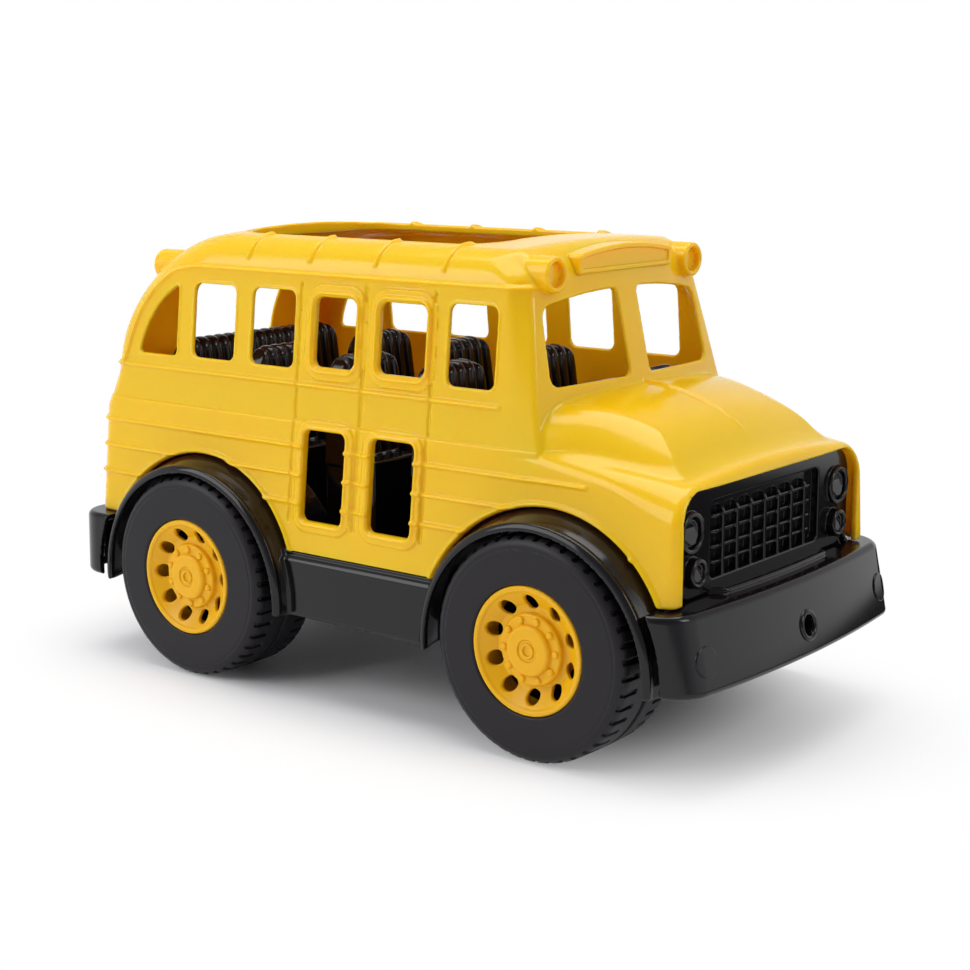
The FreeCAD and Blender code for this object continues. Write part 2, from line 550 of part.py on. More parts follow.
def fender(name, end, side):
    """Add one wheel's fender, well and flange, open below."""
    x = f"{end} * half_wheelbase"
    inner_y = "well_wall_y"
    run = "fender_half_width - well_wall_y"
    start = inner_y if side > 0 else "-fender_half_width"
    ring = cylinder(name + "_ring", "fender_outer_radius", run, x, start, "arch_centre_height", TURN_TO_Y)
    flange_y = "fender_flange_y - fender_flange_wall" if side > 0 else "-fender_flange_y"
    flange = cylinder(name + "_flange", "fender_flange_radius", "fender_flange_wall", x, flange_y,
                      "arch_centre_height", TURN_TO_Y)
    outer = fuse(name + "_outer", [ring, flange])
    room_start = "well_wall_y + well_wall" if side > 0 else "-fender_half_width - cut_overrun"
    room = cylinder(name + "_room", "fender_outer_radius - fender_wall",
                    "fender_half_width + cut_overrun - well_wall_y - well_wall",
                    x, room_start, "arch_centre_height", TURN_TO_Y)
    low = box(name + "_low", "4 * fender_outer_radius", "4 * fender_half_width", "2 * fender_outer_radius",
              f"{x} - 2 * fender_outer_radius", "-2 * fender_half_width",
              "fender_tail_height - 2 * fender_outer_radius")
    return cut(name, outer, [room, low])


def bearing(name, end, side):
    """Add one bearing block under the pan."""
    y = "rail_half_width - bearing_length" if side > 0 else "-rail_half_width"
    return box(name, "2 * bearing_half_width", "bearing_length", "pan_top - bearing_bottom",
               f"{end} * half_wheelbase - bearing_half_width", y, "bearing_bottom")


ENDS = (("front", 1), ("rear", -1))
SIDES = (("left", 1), ("right", -1))


def keeper_boss(name, end, x_side, y_side):
    """Add one screw boss under the pan."""
    return cylinder(name, "keeper_boss_radius", "pan_top - bearing_bottom",
                    f"{end} * half_wheelbase + {x_side} * keeper_boss_x", f"{y_side} * keeper_boss_y",
                    "bearing_bottom")


def chassis():
    """Build the black chassis from bound boxes and cylinders."""
    pieces = [box("pan", "2 * pan_half_length", "2 * rail_half_width", "pan_wall",
                  "-pan_half_length", "-rail_half_width", "pan_top - pan_wall"),
              box("pan_wings", "2 * half_wheelbase - 2 * fender_outer_radius",
                  "2 * skirt_half_width - 2 * skirt_wall", "pan_wall", "-half_wheelbase + fender_outer_radius",
                  "-skirt_half_width + skirt_wall", "pan_top - pan_wall")]
    pieces += both_sides("rail", "2 * pan_half_length", "rail_wall", "pan_top - rail_bottom",
                         "-pan_half_length", "rail_half_width - rail_wall", "rail_bottom")
    skirt_length = "2 * half_wheelbase - 2 * fender_outer_radius + 2 * fender_wall"
    skirt_x = "-half_wheelbase + fender_outer_radius - fender_wall"
    pieces += both_sides("skirt", skirt_length, "skirt_wall", "sill_height - skirt_bottom", skirt_x,
                         "skirt_half_width - skirt_wall", "skirt_bottom")
    pieces += both_sides("ledge", skirt_length, "skirt_ledge_width", "sill_height - pan_top + pan_wall", skirt_x,
                         "skirt_half_width - skirt_ledge_width", "pan_top - pan_wall")
    for end_name, end in ENDS:
        wall_x = "pan_half_length - cross_wall" if end > 0 else "-pan_half_length"
        pieces.append(box(f"cross_wall_{end_name}", "cross_wall", "2 * rail_half_width", "pan_top - rail_bottom",
                          wall_x, "-rail_half_width", "rail_bottom"))
        for side_name, side in SIDES:
            pieces.append(fender(f"fender_{end_name}_{side_name}", end, side))
            pieces.append(bearing(f"bearing_{end_name}_{side_name}", end, side))
            for x_side in (-1, 1):
                name = f"boss_{end_name}_{side_name}_{'front' if x_side > 0 else 'back'}"
                pieces.append(keeper_boss(name, end, x_side, side))
    pieces.append(box("grille_post", "grille_back_x - pan_half_length + cut_overrun / 2", "2 * rail_half_width",
                      "grille_bottom + grille_wall - pan_top", "pan_half_length - cut_overrun / 2",
                      "-rail_half_width", "pan_top - pan_wall"))
    tools = []
    for end_name, end in ENDS:
        x = f"{end} * half_wheelbase"
        tools.append(cylinder(f"axle_bore_{end_name}", "axle_radius + running_clearance", "2 * half_track", x,
                              "-half_track", "tyre_radius", TURN_TO_Y))
        tools.append(box(f"axle_slot_{end_name}", "2 * keeper_tongue_half_width",
                         "2 * well_wall_y + 4 * well_wall",
                         "tyre_radius", f"{x} - keeper_tongue_half_width", "-well_wall_y - 2 * well_wall", "0"))
        for side_name, side in SIDES:
            for x_side in (-1, 1):
                name = f"screw_hole_{end_name}_{side_name}_{'front' if x_side > 0 else 'back'}"
                tools.append(cylinder(name, "screw_radius + screw_hole_clearance", "screw_length",
                                      f"{x} + {x_side} * keeper_boss_x", f"{side} * keeper_boss_y",
                                      "bearing_bottom - keeper_wall"))
    for x_name in ("front_post_x", "rear_post_x"):
        for side_name, side in SIDES:
            tools.append(cylinder(f"{x_name}_hole_{side_name}", "screw_radius + screw_hole_clearance",
                                  "2 * pan_wall",
                                  x_name, f"{side} * post_y", "pan_top - 1.5 * pan_wall"))
    return name_part(cut("Chassis", fuse("chassis_solid", pieces), tools), "chassis")


chassis()


def axle_keeper(end_name, end):
    """Build one keeper: a plate with two tongues that close the axle's slots from below."""
    x = f"{end} * half_wheelbase"
    pieces = [box(f"keeper_plate_{end_name}", "2 * keeper_half_length",
                  "2 * rail_half_width - 2 * keeper_end_gap",
                  "keeper_wall", f"{x} - keeper_half_length", "-rail_half_width + keeper_end_gap",
                  "bearing_bottom - keeper_wall")]
    pieces += both_sides(f"keeper_tongue_{end_name}", "2 * keeper_tongue_half_width - 2 * keeper_clearance",
                         "bearing_length - keeper_end_gap", "tyre_radius - bearing_bottom",
                         f"{x} - keeper_tongue_half_width + keeper_clearance", "rail_half_width - bearing_length",
                         "bearing_bottom")
    tools = [cylinder(f"keeper_bore_{end_name}", "axle_radius + running_clearance", "2 * half_track", x,
                      "-half_track", "tyre_radius", TURN_TO_Y)]
    for side_name, side in SIDES:
        for x_side in (-1, 1):
            name = f"keeper_hole_{end_name}_{side_name}_{'front' if x_side > 0 else 'back'}"
            tools.append(cylinder(name, "screw_radius + screw_hole_clearance", "2 * keeper_wall",
                                  f"{x} + {x_side} * keeper_boss_x", f"{side} * keeper_boss_y",
                                  "bearing_bottom - 1.5 * keeper_wall"))
    solid = fuse(f"keeper_solid_{end_name}", pieces)
    name_part(cut(f"Keeper_{end_name}", solid, tools), f"{end_name}_axle_keeper")


for end_name, end in ENDS:
    axle_keeper(end_name, end)


def screw(name, x, y, seat):
    """Add one screw whose head lies under a seat height."""
    shank = cylinder("shank_" + name, "screw_radius", "screw_length - screw_radius", x, y, seat)
    head = cylinder("head_" + name, "screw_head_radius", "screw_head_height",
                    x, y, f"{seat} - screw_head_height")
    return fuse("screw_" + name, [shank, head])


def screws():
    """Build the group of screws that hold the keepers and the shell."""
    things = []
    for side_name, side in SIDES:
        for end_name, end in ENDS:
            for x_side in (-1, 1):
                name = f"{end_name}_{side_name}_{'front' if x_side > 0 else 'back'}"
                things.append(screw(name, f"{end} * half_wheelbase + {x_side} * keeper_boss_x",
                                    f"{side} * keeper_boss_y", "bearing_bottom - keeper_wall"))
            things.append(screw(f"post_{end_name}_{side_name}", f"{end_name}_post_x", f"{side} * post_y",
                                "pan_top - pan_wall"))
    group = doc.addObject("Part::Compound", "Screws")
    group.Links = things
    name_part(group, "screws")


screws()


# The bumpers
def bumper_plan(height, inset, slant, bow):
    """Give the wire of a bumper's outline at a height, drawn in by an inset."""
    half = S.bumper_half_width - inset
    corner = S.bumper_corner - inset
    front = S.end_reach - inset - slant
    flat = half - corner
    edge_x = front - bow
    back = S.bumper_back_x
    side_end = Vector(edge_x - corner, half, height)
    flat_end = Vector(edge_x, flat, height)
    middle = Vector(edge_x - corner * (1 - ARC_SHARE), half - corner * (1 - ARC_SHARE), height)
    rear = Vector(back, half, height)
    return Part.Wire([line(rear, side_end), arc(side_end, middle, flat_end),
                      arc(flat_end, Vector(front, 0, height), flip(flat_end)),
                      arc(flip(flat_end), flip(middle), flip(side_end)), line(flip(side_end), flip(rear)),
                      line(flip(rear), rear)])


def bumper_loft(top, inset, bow, slant):
    """Give the solid form of a bumper, drawn in by an inset."""
    rate = slant / (top - S.bumper_bottom)
    low = S.bumper_bottom - (S.cut_overrun if inset > 0 else 0)
    high = top - max(inset, 0)
    plans = [bumper_plan(height, inset, rate * (height - S.bumper_bottom), bow) for height in (low, high)]
    return Part.makeLoft(plans, True, True)


def cut_fenders(shape):
    """Take the room of the front fenders and wells from a bumper."""
    room = Part.makeCylinder(S.fender_outer_radius, S.half_track * 2,
                             Vector(S.half_wheelbase, -S.half_track, S.arch_centre_height), Vector(0, 1, 0))
    flange_y = S.fender_flange_y + S.seat_gap
    flange_room = Part.makeCylinder(S.fender_flange_radius + S.seat_gap, flange_y * 2,
                                    Vector(S.half_wheelbase, -flange_y, S.arch_centre_height), Vector(0, 1, 0))
    post_room = Part.makeBox(S.grille_back_x + S.seat_gap, (S.rail_half_width + S.seat_gap) * 2, S.grille_top,
                             Vector(0, -S.rail_half_width - S.seat_gap, 0))
    return shape.cut([room, flange_room, post_room])


def bumper_bosses(outer):
    """Give the two bosses that reach from the chassis to a bumper's face."""
    return [Part.makeCylinder(S.bumper_boss_radius, S.end_reach - S.pan_half_length,
                              Vector(S.pan_half_length, side * S.bumper_boss_y, S.bumper_boss_height),
                              Vector(1, 0, 0)).common(outer) for side in (-1, 1)]


def rail_room():
    """Give the space that the chassis rails take."""
    return Part.makeBox(S.pan_half_length, S.rail_half_width * 2, S.pan_top, Vector(0, -S.rail_half_width, 0))


def front_bumper():
    """Give the front bumper with its two discs and the tow hole."""
    shape = (S.bumper_bow, S.bumper_slant)
    outer = bumper_loft(S.bumper_top, 0, *shape)
    face_x = S.end_reach - S.bumper_slant * (S.tow_hole_height - S.bumper_bottom) / (S.bumper_top - S.bumper_bottom)
    sleeve = Part.makeCylinder(S.tow_rim_radius, S.tow_sleeve_length + S.cut_overrun,
                               Vector(face_x - S.tow_sleeve_length, 0, S.tow_hole_height), Vector(1, 0, 0))
    sleeve = sleeve.common(bumper_loft(S.bumper_top, -S.tow_rim_height, *shape))
    disc_x = S.end_reach - S.bumper_bow - S.bumper_slant - S.bumper_wall
    discs = [Part.makeCylinder(S.bumper_disc_radius, S.cut_overrun,
                               Vector(disc_x, side * S.bumper_flat_half_width, S.bumper_disc_height_z),
                               Vector(1, 0, 0)) for side in (-1, 1)]
    grown = bumper_loft(S.bumper_top, -S.bumper_disc_height, *shape)
    inner = bumper_loft(S.bumper_top, S.bumper_wall, *shape)
    discs = [disc.common(grown).cut(inner) for disc in discs]
    hole = Part.makeCylinder(S.tow_hole_radius, S.cut_overrun * 2,
                             Vector(face_x - S.cut_overrun, 0, S.tow_hole_height), Vector(1, 0, 0))
    hollow = cut_fenders(outer.cut(inner))
    return hollow.multiFuse(bumper_bosses(outer) + [sleeve] + discs).cut(hole).cut(rail_room())


def rear_bumper():
    """Give the rear bumper, a plainer copy turned to the back."""
    shape = (S.bumper_disc_height, S.bumper_disc_height)
    outer = bumper_loft(S.rear_bumper_top, 0, *shape)
    inner = bumper_loft(S.rear_bumper_top, S.bumper_wall, *shape)
    solid = cut_fenders(outer.cut(inner)).multiFuse(bumper_bosses(outer)).cut(rail_room())
    return solid.mirror(Vector(), Vector(1, 0, 0))


shape_part("front_bumper", front_bumper())
shape_part("rear_bumper", rear_bumper())


# The grille
def grille_panel():
    """Give the grille panel with its mesh of pockets and four ringed lights."""
    wide, back = S.grille_half_width, S.grille_back_x
    plate = upright(back, wide, S.grille_bottom, S.grille_top, S.grille_corner).extrude(Vector(S.grille_depth, 0, 0))
    rings = []
    hollows = []
    for side in (-1, 1):
        for y, z, radius in ((S.headlight_y, S.headlight_height, S.headlight_radius),
                             (S.small_light_y, S.small_light_height, S.small_light_radius)):
            place = Vector(back + S.grille_wall, side * y, z)
            length = S.grille_depth - S.grille_wall + S.light_height
            rings.append(Part.makeCylinder(radius, length, place, Vector(1, 0, 0)))
            hollows.append(Part.makeCylinder(radius - S.light_wall, length, place, Vector(1, 0, 0)))
    pockets = []
    columns = int(round(2 * S.mesh_half_width / S.bar_pitch))
    rows = int(round((S.mesh_top - S.mesh_bottom) / S.cross_bar_pitch))
    column_step = 2 * S.mesh_half_width / columns
    row_step = (S.mesh_top - S.mesh_bottom) / rows
    for column in range(columns):
        for row in range(rows):
            corner = Vector(back + S.grille_wall, -S.mesh_half_width + column * column_step + S.bar_width / 2,
                            S.mesh_bottom + row * row_step + S.cross_bar_width / 2)
            pockets.append(Part.makeBox(S.cut_overrun, column_step - S.bar_width, row_step - S.cross_bar_width,
                                        corner))
    return plate.multiFuse(rings).cut(pockets + hollows)


shape_part("grille_panel", grille_panel())


# The seat tray
def seat_back_slab(front_x, inner_y, outer_y, bottom):
    """Give the plain leaning slab inside a seat back."""
    top = S.seat_top - S.rib_radius
    front = front_x - S.rib_radius
    rear = front_x - S.seat_back_wall
    profile = polygon([Vector(front + S.seat_lean, inner_y, bottom), Vector(front, inner_y, top),
                       Vector(rear, inner_y, top), Vector(rear - S.seat_lean * REAR_LEAN_SHARE, inner_y, bottom)])
    return profile.extrude(Vector(0, outer_y - inner_y, 0))


def ribbed_back(front_x, inner_y, outer_y, bottom):
    """Give one ribbed seat back that leans backwards, with a rounded top."""
    top = S.seat_top - S.rib_radius
    rear = front_x - S.seat_back_wall
    count = int(round((outer_y - inner_y) / S.rib_pitch))
    step = (outer_y - inner_y) / count
    ribs = []
    for number in range(count):
        y = inner_y + step * (number + 0.5)
        foot = Vector(front_x + S.seat_lean - S.rib_radius, y, bottom)
        head = Vector(front_x - S.rib_radius, y, top)
        along = head - foot
        foot = foot - along * (S.rib_radius / along.Length)
        ribs.append(Part.makeCylinder(S.rib_radius, along.Length + S.rib_radius, foot, along))
        ribs.append(Part.makeCylinder(S.rib_radius, head.x - rear, Vector(rear, y, top), Vector(1, 0, 0)))
        ribs.append(Part.makeSphere(S.rib_radius, head))
    frame = upright(front_x - S.cut_overrun, (outer_y - inner_y) / 2, bottom - S.seat_shoulder, S.seat_top,
                    S.seat_shoulder)
    frame.translate(Vector(0, (outer_y + inner_y) / 2, 0))
    slab = seat_back_slab(front_x, inner_y, outer_y, bottom)
    return slab.multiFuse(ribs).common(frame.extrude(Vector(S.cut_overrun * 2, 0, 0)))


def seat(front_x, inner_y, outer_y, base_inner_y, base_outer_y):
    """Give one hollow seat: a base on the tray's floor and its ribbed back, open below."""
    rear = front_x - S.seat_back_wall - S.seat_lean * REAR_LEAN_SHARE
    depth = S.seat_base_depth
    base = Part.makeBox(depth, base_outer_y - base_inner_y, S.seat_base_top - S.pan_top,
                        Vector(rear, base_inner_y, S.pan_top))
    room = Part.makeBox(depth - S.tray_wall * 2, base_outer_y - base_inner_y - S.tray_wall * 2,
                        S.seat_base_top - S.pan_top - S.tray_wall,
                        Vector(rear + S.tray_wall, base_inner_y + S.tray_wall, S.pan_top))
    return base.fuse(ribbed_back(front_x, inner_y, outer_y, S.seat_base_top)), room


def dashboard():
    """Give the dashboard's hollow box and its leg."""
    low = S.dash_top - S.dash_height
    back = S.dash_x - S.dash_depth
    wall = S.tray_wall
    whole = Part.makeBox(S.dash_depth, S.dash_half_width * 2,
                         S.dash_height, Vector(back, -S.dash_half_width, low))
    room = Part.makeBox(S.dash_depth, (S.dash_half_width - wall) * 2, S.dash_height - wall,
                        Vector(back + wall, -S.dash_half_width + wall, low))
    leg = Part.makeBox(wall, S.dash_leg_half_width * 2, low - S.pan_top,
                       Vector(back, -S.dash_leg_half_width, S.pan_top))
    return whole.cut(room).fuse(leg)


def seat_tray():
    """Give the tray: floor, six seats, rear bench and dashboard."""
    length = S.tray_front_x - S.tray_back_x
    solids = [Part.makeBox(length, S.tray_half_width * 2, S.tray_wall,
                           Vector(S.tray_back_x, -S.tray_half_width, S.pan_top)), dashboard()]
    rooms = []
    rows = [(S.seat_front_x - row * S.seat_pitch, S.seat_inner_y, S.seat_outer_y, S.seat_inner_y,
             S.seat_base_outer_y) for row in range(COUNT_OF_ROWS)]
    rows += [(x, -outer, -inner, -base_outer, -base_inner) for x, inner, outer, base_inner, base_outer in rows]
    rows.append((S.bench_x, -S.seat_outer_y, S.seat_outer_y, -S.seat_base_outer_y, S.seat_base_outer_y))
    for place in rows:
        solid, room = seat(*place)
        solids.append(solid)
        rooms.append(room)
    return solids[0].multiFuse(solids[1:]).cut(rooms)


shape_part("seat_tray", seat_tray())


def steering_wheel():
    """Build the steering wheel on its column."""
    turn = Rotation(Vector(0, 1, 0), -S.steering_lean_angle)
    along = turn.multVec(Vector(0, 0, 1))
    centre = Vector(S.steering_x, S.steering_y, S.steering_height)
    rim = Part.makeTorus(S.steering_radius, S.steering_rim_radius, centre, along)
    spare = S.seat_gap + S.steering_column_radius
    reach = (S.dash_x - S.dash_depth - spare - centre.x) / -along.x
    column = Part.makeCylinder(S.steering_column_radius, abs(reach), centre, -along)
    bars = [Part.makeCylinder(S.steering_rim_radius, S.steering_radius, centre,
                              Rotation(along, 120 * number).multVec(Vector(0, 1, 0))) for number in range(3)]
    return rim.multiFuse([column] + bars)


shape_part("steering_wheel", steering_wheel())


# The wheels
def profile_sketch(body, name, points):
    """Draw a closed outline in the YZ plane; every point's two places are bound."""
    sketch = body.newObject("Sketcher::SketchObject", name)
    plane = next(item for item in body.Origin.OriginFeatures if item.Role == "YZ_Plane")
    sketch.AttachmentSupport = [(plane, "")]
    sketch.MapMode = "FlatFace"
    values = [tuple(amount(text) for text in point) for point in points]
    count = len(points)
    for index, (u, v) in enumerate(values):
        after = values[(index + 1) % count]
        sketch.addGeometry(Part.LineSegment(Vector(u, v, 0), Vector(after[0], after[1], 0)), False)
    for index in range(count):
        sketch.addConstraint(Sketcher.Constraint("Coincident", index, 2, (index + 1) % count, 1))
    for index, (text_u, text_v) in enumerate(points):
        for kind, text, value in (("DistanceX", text_u, values[index][0]),
                                  ("DistanceY", text_v, values[index][1])):
            number = sketch.addConstraint(Sketcher.Constraint(kind, -1, 1, index, 1, value))
            sketch.setExpression(f"Constraints[{number}]", rule(text))
    return sketch


def amount(text):
    """Work out a sum of the sheet's names, each with a plain factor or divisor."""
    total = 0.0
    pattern = r"([+-]?)\s*(?:([\d.]+)\s*\*\s*)?([a-z]\w*)(?:\s*/\s*([\d.]+))?"
    for sign, factor, name, divisor in re.findall(pattern, text):
        value = getattr(S, name) * float(factor or 1) / float(divisor or 1)
        total += -value if sign == "-" else value
    return total


def turned_body(name, points):
    """Make a body by turning an outline about its own Y axis."""
    body = doc.addObject("PartDesign::Body", name)
    sketch = profile_sketch(body, name + "_outline", points)
    doc.recompute()
    turning = body.newObject("PartDesign::Revolution", name + "_turning")
    turning.Profile = sketch
    turning.ReferenceAxis = (sketch, ["H_Axis"])
    turning.Angle = 360
    doc.recompute()
    return body


def place_wheel_piece(body, end, side):
    """Put a wheel piece, drawn from its inner face outwards, on its axle."""
    if side < 0:
        body.Placement = Placement(Vector(), HALF_TURN)
    bind(body, x=f"{end} * half_wheelbase", y=f"{side} * (half_track - tyre_width)", z="tyre_radius")


TYRE_OUTLINE = [("tyre_width - tyre_shoulder_depth", "tyre_radius"), ("tyre_width", "tyre_shoulder_radius"),
                ("tyre_width", "tyre_bore_radius"), ("tyre_back_inset", "tyre_bore_radius"),
                ("tyre_back_inset", "tyre_bore_radius + tyre_wall"),
                ("tyre_width - tyre_wall", "tyre_bore_radius + tyre_wall"),
                ("tyre_width - tyre_wall", "tyre_shoulder_radius - tyre_wall"),
                ("tyre_width - tyre_shoulder_depth - tyre_wall", "tyre_radius - tread_wall"),
                ("tyre_back_inset", "tyre_radius - tread_wall"),
                ("tyre_back_inset", "tyre_radius - tread_wall / 2"),
                ("tyre_back_inset + tread_wall / 2", "tyre_radius")]
RIM_OUTLINE = [("tyre_width", "rim_radius"), ("tyre_width", "rim_radius - rim_lip_width"),
               ("tyre_width - rim_dish_depth", "rim_radius - 2 * rim_lip_width"),
               ("tyre_width - rim_dish_depth", "hub_cap_radius"),
               ("tyre_width - rim_dish_depth + hub_cap_height", "hub_cap_radius - hub_cap_dimple_depth"),
               ("tyre_width - rim_dish_depth + hub_cap_height", "hub_cap_dimple_radius"),
               ("tyre_width - rim_dish_depth + hub_cap_height - hub_cap_dimple_depth", "hub_cap_dimple_depth"),
               ("tyre_width - axle_end_inset", "hub_cap_dimple_depth"),
               ("tyre_width - axle_end_inset", "axle_radius"),
               ("tyre_width - rim_dish_depth - rim_wall - hub_sleeve_length", "axle_radius"),
               ("tyre_width - rim_dish_depth - rim_wall - hub_sleeve_length", "hub_sleeve_radius"),
               ("tyre_width - rim_dish_depth - rim_wall", "hub_sleeve_radius"),
               ("tyre_width - rim_dish_depth - rim_wall", "rim_radius - rim_wall"),
               ("tyre_width - rim_barrel_length", "rim_radius - rim_wall"),
               ("tyre_width - rim_barrel_length", "rim_radius")]
BACK_OUTLINE = [("wheel_back_inset", "axle_radius"), ("wheel_back_inset", "wheel_back_radius"),
                ("wheel_back_inset + wheel_back_wall", "wheel_back_radius"),
                ("wheel_back_inset + wheel_back_wall", "wheel_back_hub_radius"),
                ("wheel_back_hub_length", "wheel_back_hub_radius"), ("wheel_back_hub_length", "axle_radius")]


def lug_tool():
    """Give the tool that cuts the shoulder gaps of a tyre's tread, drawn as the tyre is."""
    gaps = []
    for face_y in (S.tyre_shoulder_depth / 2, S.tyre_width - S.lug_reach):
        gap = Part.makeBox(S.lug_gap_width, S.lug_reach - S.tyre_shoulder_depth / 2, S.cut_overrun,
                           Vector(-S.lug_gap_width / 2, face_y, S.tyre_radius - S.lug_depth))
        for number in range(int(S.lug_count)):
            turn = Rotation(Vector(0, 1, 0), number * 360 / S.lug_count)
            gaps.append(gap.transformed(Placement(Vector(), turn).toMatrix()))
    return Part.makeCompound(gaps)


def tyre(label, end, side):
    """Build one tyre: a turned body with its tread gaps cut."""
    body = turned_body("Body_" + label, TYRE_OUTLINE)
    gaps = doc.addObject("Part::Feature", "Gaps_" + label)
    gaps.Shape = lug_tool()
    cut_tyre = cut("Cut_" + label, body, [gaps])
    name_part(cut_tyre, label)
    place_wheel_piece(cut_tyre, end, side)


def rim(label, end, side):
    """Build one rim: a turned dish with hand holes and nut bumps."""
    body = turned_body("Body_" + label, RIM_OUTLINE)
    holes, bumps = [], []
    disc_y = S.tyre_width - S.rim_dish_depth
    for number in range(int(S.hand_hole_count)):
        angle = 2 * math.pi * number / S.hand_hole_count
        out = Vector(math.cos(angle), 0, math.sin(angle))
        holes.append(Part.makeCylinder(S.hand_hole_radius, S.rim_dish_depth, out * S.hand_hole_circle
                                       + Vector(0, disc_y - S.rim_dish_depth / 2, 0), Vector(0, 1, 0)))
        half = angle + math.pi / S.hand_hole_count
        out = Vector(math.cos(half), 0, math.sin(half))
        bumps.append(Part.makeCylinder(S.rim_nut_radius, S.rim_nut_height + S.rim_wall, out * S.rim_nut_circle
                                       + Vector(0, disc_y - S.rim_wall, 0), Vector(0, 1, 0)))
    hole_part = doc.addObject("Part::Feature", "Holes_" + label)
    hole_part.Shape = Part.makeCompound(holes)
    bump_part = doc.addObject("Part::Feature", "Bumps_" + label)
    bump_part.Shape = Part.makeCompound(bumps)
    with_bumps = fuse("Bumped_" + label, [body, bump_part])
    whole = cut("Cut_" + label, with_bumps, [hole_part])
    name_part(whole, label)
    place_wheel_piece(whole, end, side)


def wheel_back(label, end, side):
    """Build one wheel's black inner disc."""
    body = turned_body("Body_" + label, BACK_OUTLINE)
    name_part(body, label)
    place_wheel_piece(body, end, side)


for end_name, end in ENDS:
    axle = cylinder(f"Axle_{end_name}", "axle_radius", "2 * half_track - 2 * axle_end_inset",
                    f"{end} * half_wheelbase", "-half_track + axle_end_inset", "tyre_radius", TURN_TO_Y)
    name_part(axle, f"{end_name}_axle")
    for side_name, side in SIDES:
        tyre(f"tyre_{end_name}_{side_name}", end, side)
        rim(f"rim_{end_name}_{side_name}", end, side)
        wheel_back(f"wheel_back_{end_name}_{side_name}", end, side)

doc.recompute()

# Check every object before anything is written
for thing in doc.Objects:
    bad = [state for state in thing.State if state in ("Invalid", "Error")]
    if bad:
        raise RuntimeError(f"{thing.Name} is {bad}")
for thing in sub_parts:
    if thing.Shape.isNull() or not thing.Shape.isValid() or not thing.Shape.Solids:
        raise RuntimeError(f"{thing.Label} has no valid solid")

os.makedirs("parts", exist_ok=True)
for thing in sub_parts:
    thing.Shape.exportStep(f"parts/{thing.Label}.step")
    corner = thing.Shape.BoundBox
    print(f"{thing.Label}: {len(thing.Shape.Solids)} solids, {thing.Shape.Volume / 1000:.1f} cm3, "
          f"x {corner.XMin:.1f} to {corner.XMax:.1f}, y {corner.YMin:.1f} to {corner.YMax:.1f}, "
          f"z {corner.ZMin:.1f} to {corner.ZMax:.1f}")
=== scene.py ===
"""A moulded toy bus with an open roof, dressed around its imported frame.

Every plastic piece is described by a signed distance in millimetres: negative inside the piece,
positive outside. The piece is meshed from that distance, so that its edges and corners come out
rounded as they do from a mould. The frame: +X is the front, +Y the left side, +Z up.
"""

import logging
import math
from dataclasses import dataclass
from enum import Enum
from functools import partial, reduce
from typing import Callable

import bpy
import numpy as np
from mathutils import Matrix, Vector

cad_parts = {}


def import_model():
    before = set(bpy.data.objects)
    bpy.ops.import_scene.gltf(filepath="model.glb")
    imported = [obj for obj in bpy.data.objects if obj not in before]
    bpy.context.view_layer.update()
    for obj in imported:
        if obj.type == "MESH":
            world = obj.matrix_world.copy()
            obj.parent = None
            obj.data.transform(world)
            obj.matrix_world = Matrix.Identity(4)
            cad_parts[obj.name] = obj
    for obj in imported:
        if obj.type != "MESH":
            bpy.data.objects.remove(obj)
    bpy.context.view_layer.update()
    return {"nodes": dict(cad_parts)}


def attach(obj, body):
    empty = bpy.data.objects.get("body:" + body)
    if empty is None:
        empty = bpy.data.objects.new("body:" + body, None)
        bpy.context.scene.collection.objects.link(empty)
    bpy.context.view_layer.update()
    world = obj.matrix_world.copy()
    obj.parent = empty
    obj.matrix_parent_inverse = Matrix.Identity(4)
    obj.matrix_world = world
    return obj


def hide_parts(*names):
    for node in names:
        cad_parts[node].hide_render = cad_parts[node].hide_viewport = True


log = logging.getLogger("toy_bus")

Array = np.ndarray
Pair = tuple[float, float]
Triple = tuple[float, float, float]
Distance = Callable[[Array, Array, Array], Array]

MM = 0.001
ROOT_BODY = "body"


class Side(Enum):
    """The two sides of the bus."""

    LEFT = 1
    RIGHT = -1


class End(Enum):
    """The two ends of the bus."""

    FRONT = 1
    REAR = -1


# Ways to join and shape distances

def rounded_max(first: Array, second: Array, radius: float) -> Array:
    """Keep what two forms share, with a rounded edge where they meet.

    Args:
        first: Distance to the first form.
        second: Distance to the second form.
        radius: Radius of the rounding.

    Returns:
        The distance to what they share.
    """
    a, b = first + radius, second + radius
    return np.minimum(np.maximum(a, b), 0) + np.hypot(np.maximum(a, 0), np.maximum(b, 0)) - radius


def rounded_min(first: Array, second: Array, radius: float) -> Array:
    """Join two forms with a fillet in the corner between them.

    Args:
        first: Distance to the first form.
        second: Distance to the second form.
        radius: Radius of the fillet.

    Returns:
        The distance to the joined form.
    """
    return -rounded_max(-first, -second, radius)


def common(*forms: Array) -> Array:
    """Keep what all the forms share, with sharp edges."""
    return reduce(np.maximum, forms)


def union(*forms: Array) -> Array:
    """Join all the forms, with sharp corners."""
    return reduce(np.minimum, forms)


def slab(value: Array, low: float, high: float) -> Array:
    """Give the distance to the span between two values."""
    return np.maximum(low - value, value - high)


def rectangle(u: Array, v: Array, span_u: Pair, span_v: Pair, radius: float) -> Array:
    """Give the distance to a rectangle with rounded corners.

    Args:
        u: First coordinate.
        v: Second coordinate.
        span_u: Lowest and highest first coordinate.
        span_v: Lowest and highest second coordinate.
        radius: Radius of the corners.

    Returns:
        The distance in the plane of the rectangle.
    """
    return rounded_max(slab(u, *span_u), slab(v, *span_v), radius)


def swell(distance: Array, half_width: float) -> Array:
    """Give a smooth bump that is 1 at distance 0 and 0 beyond the half width."""
    return np.square(np.maximum(1 - np.square(distance / half_width), 0))


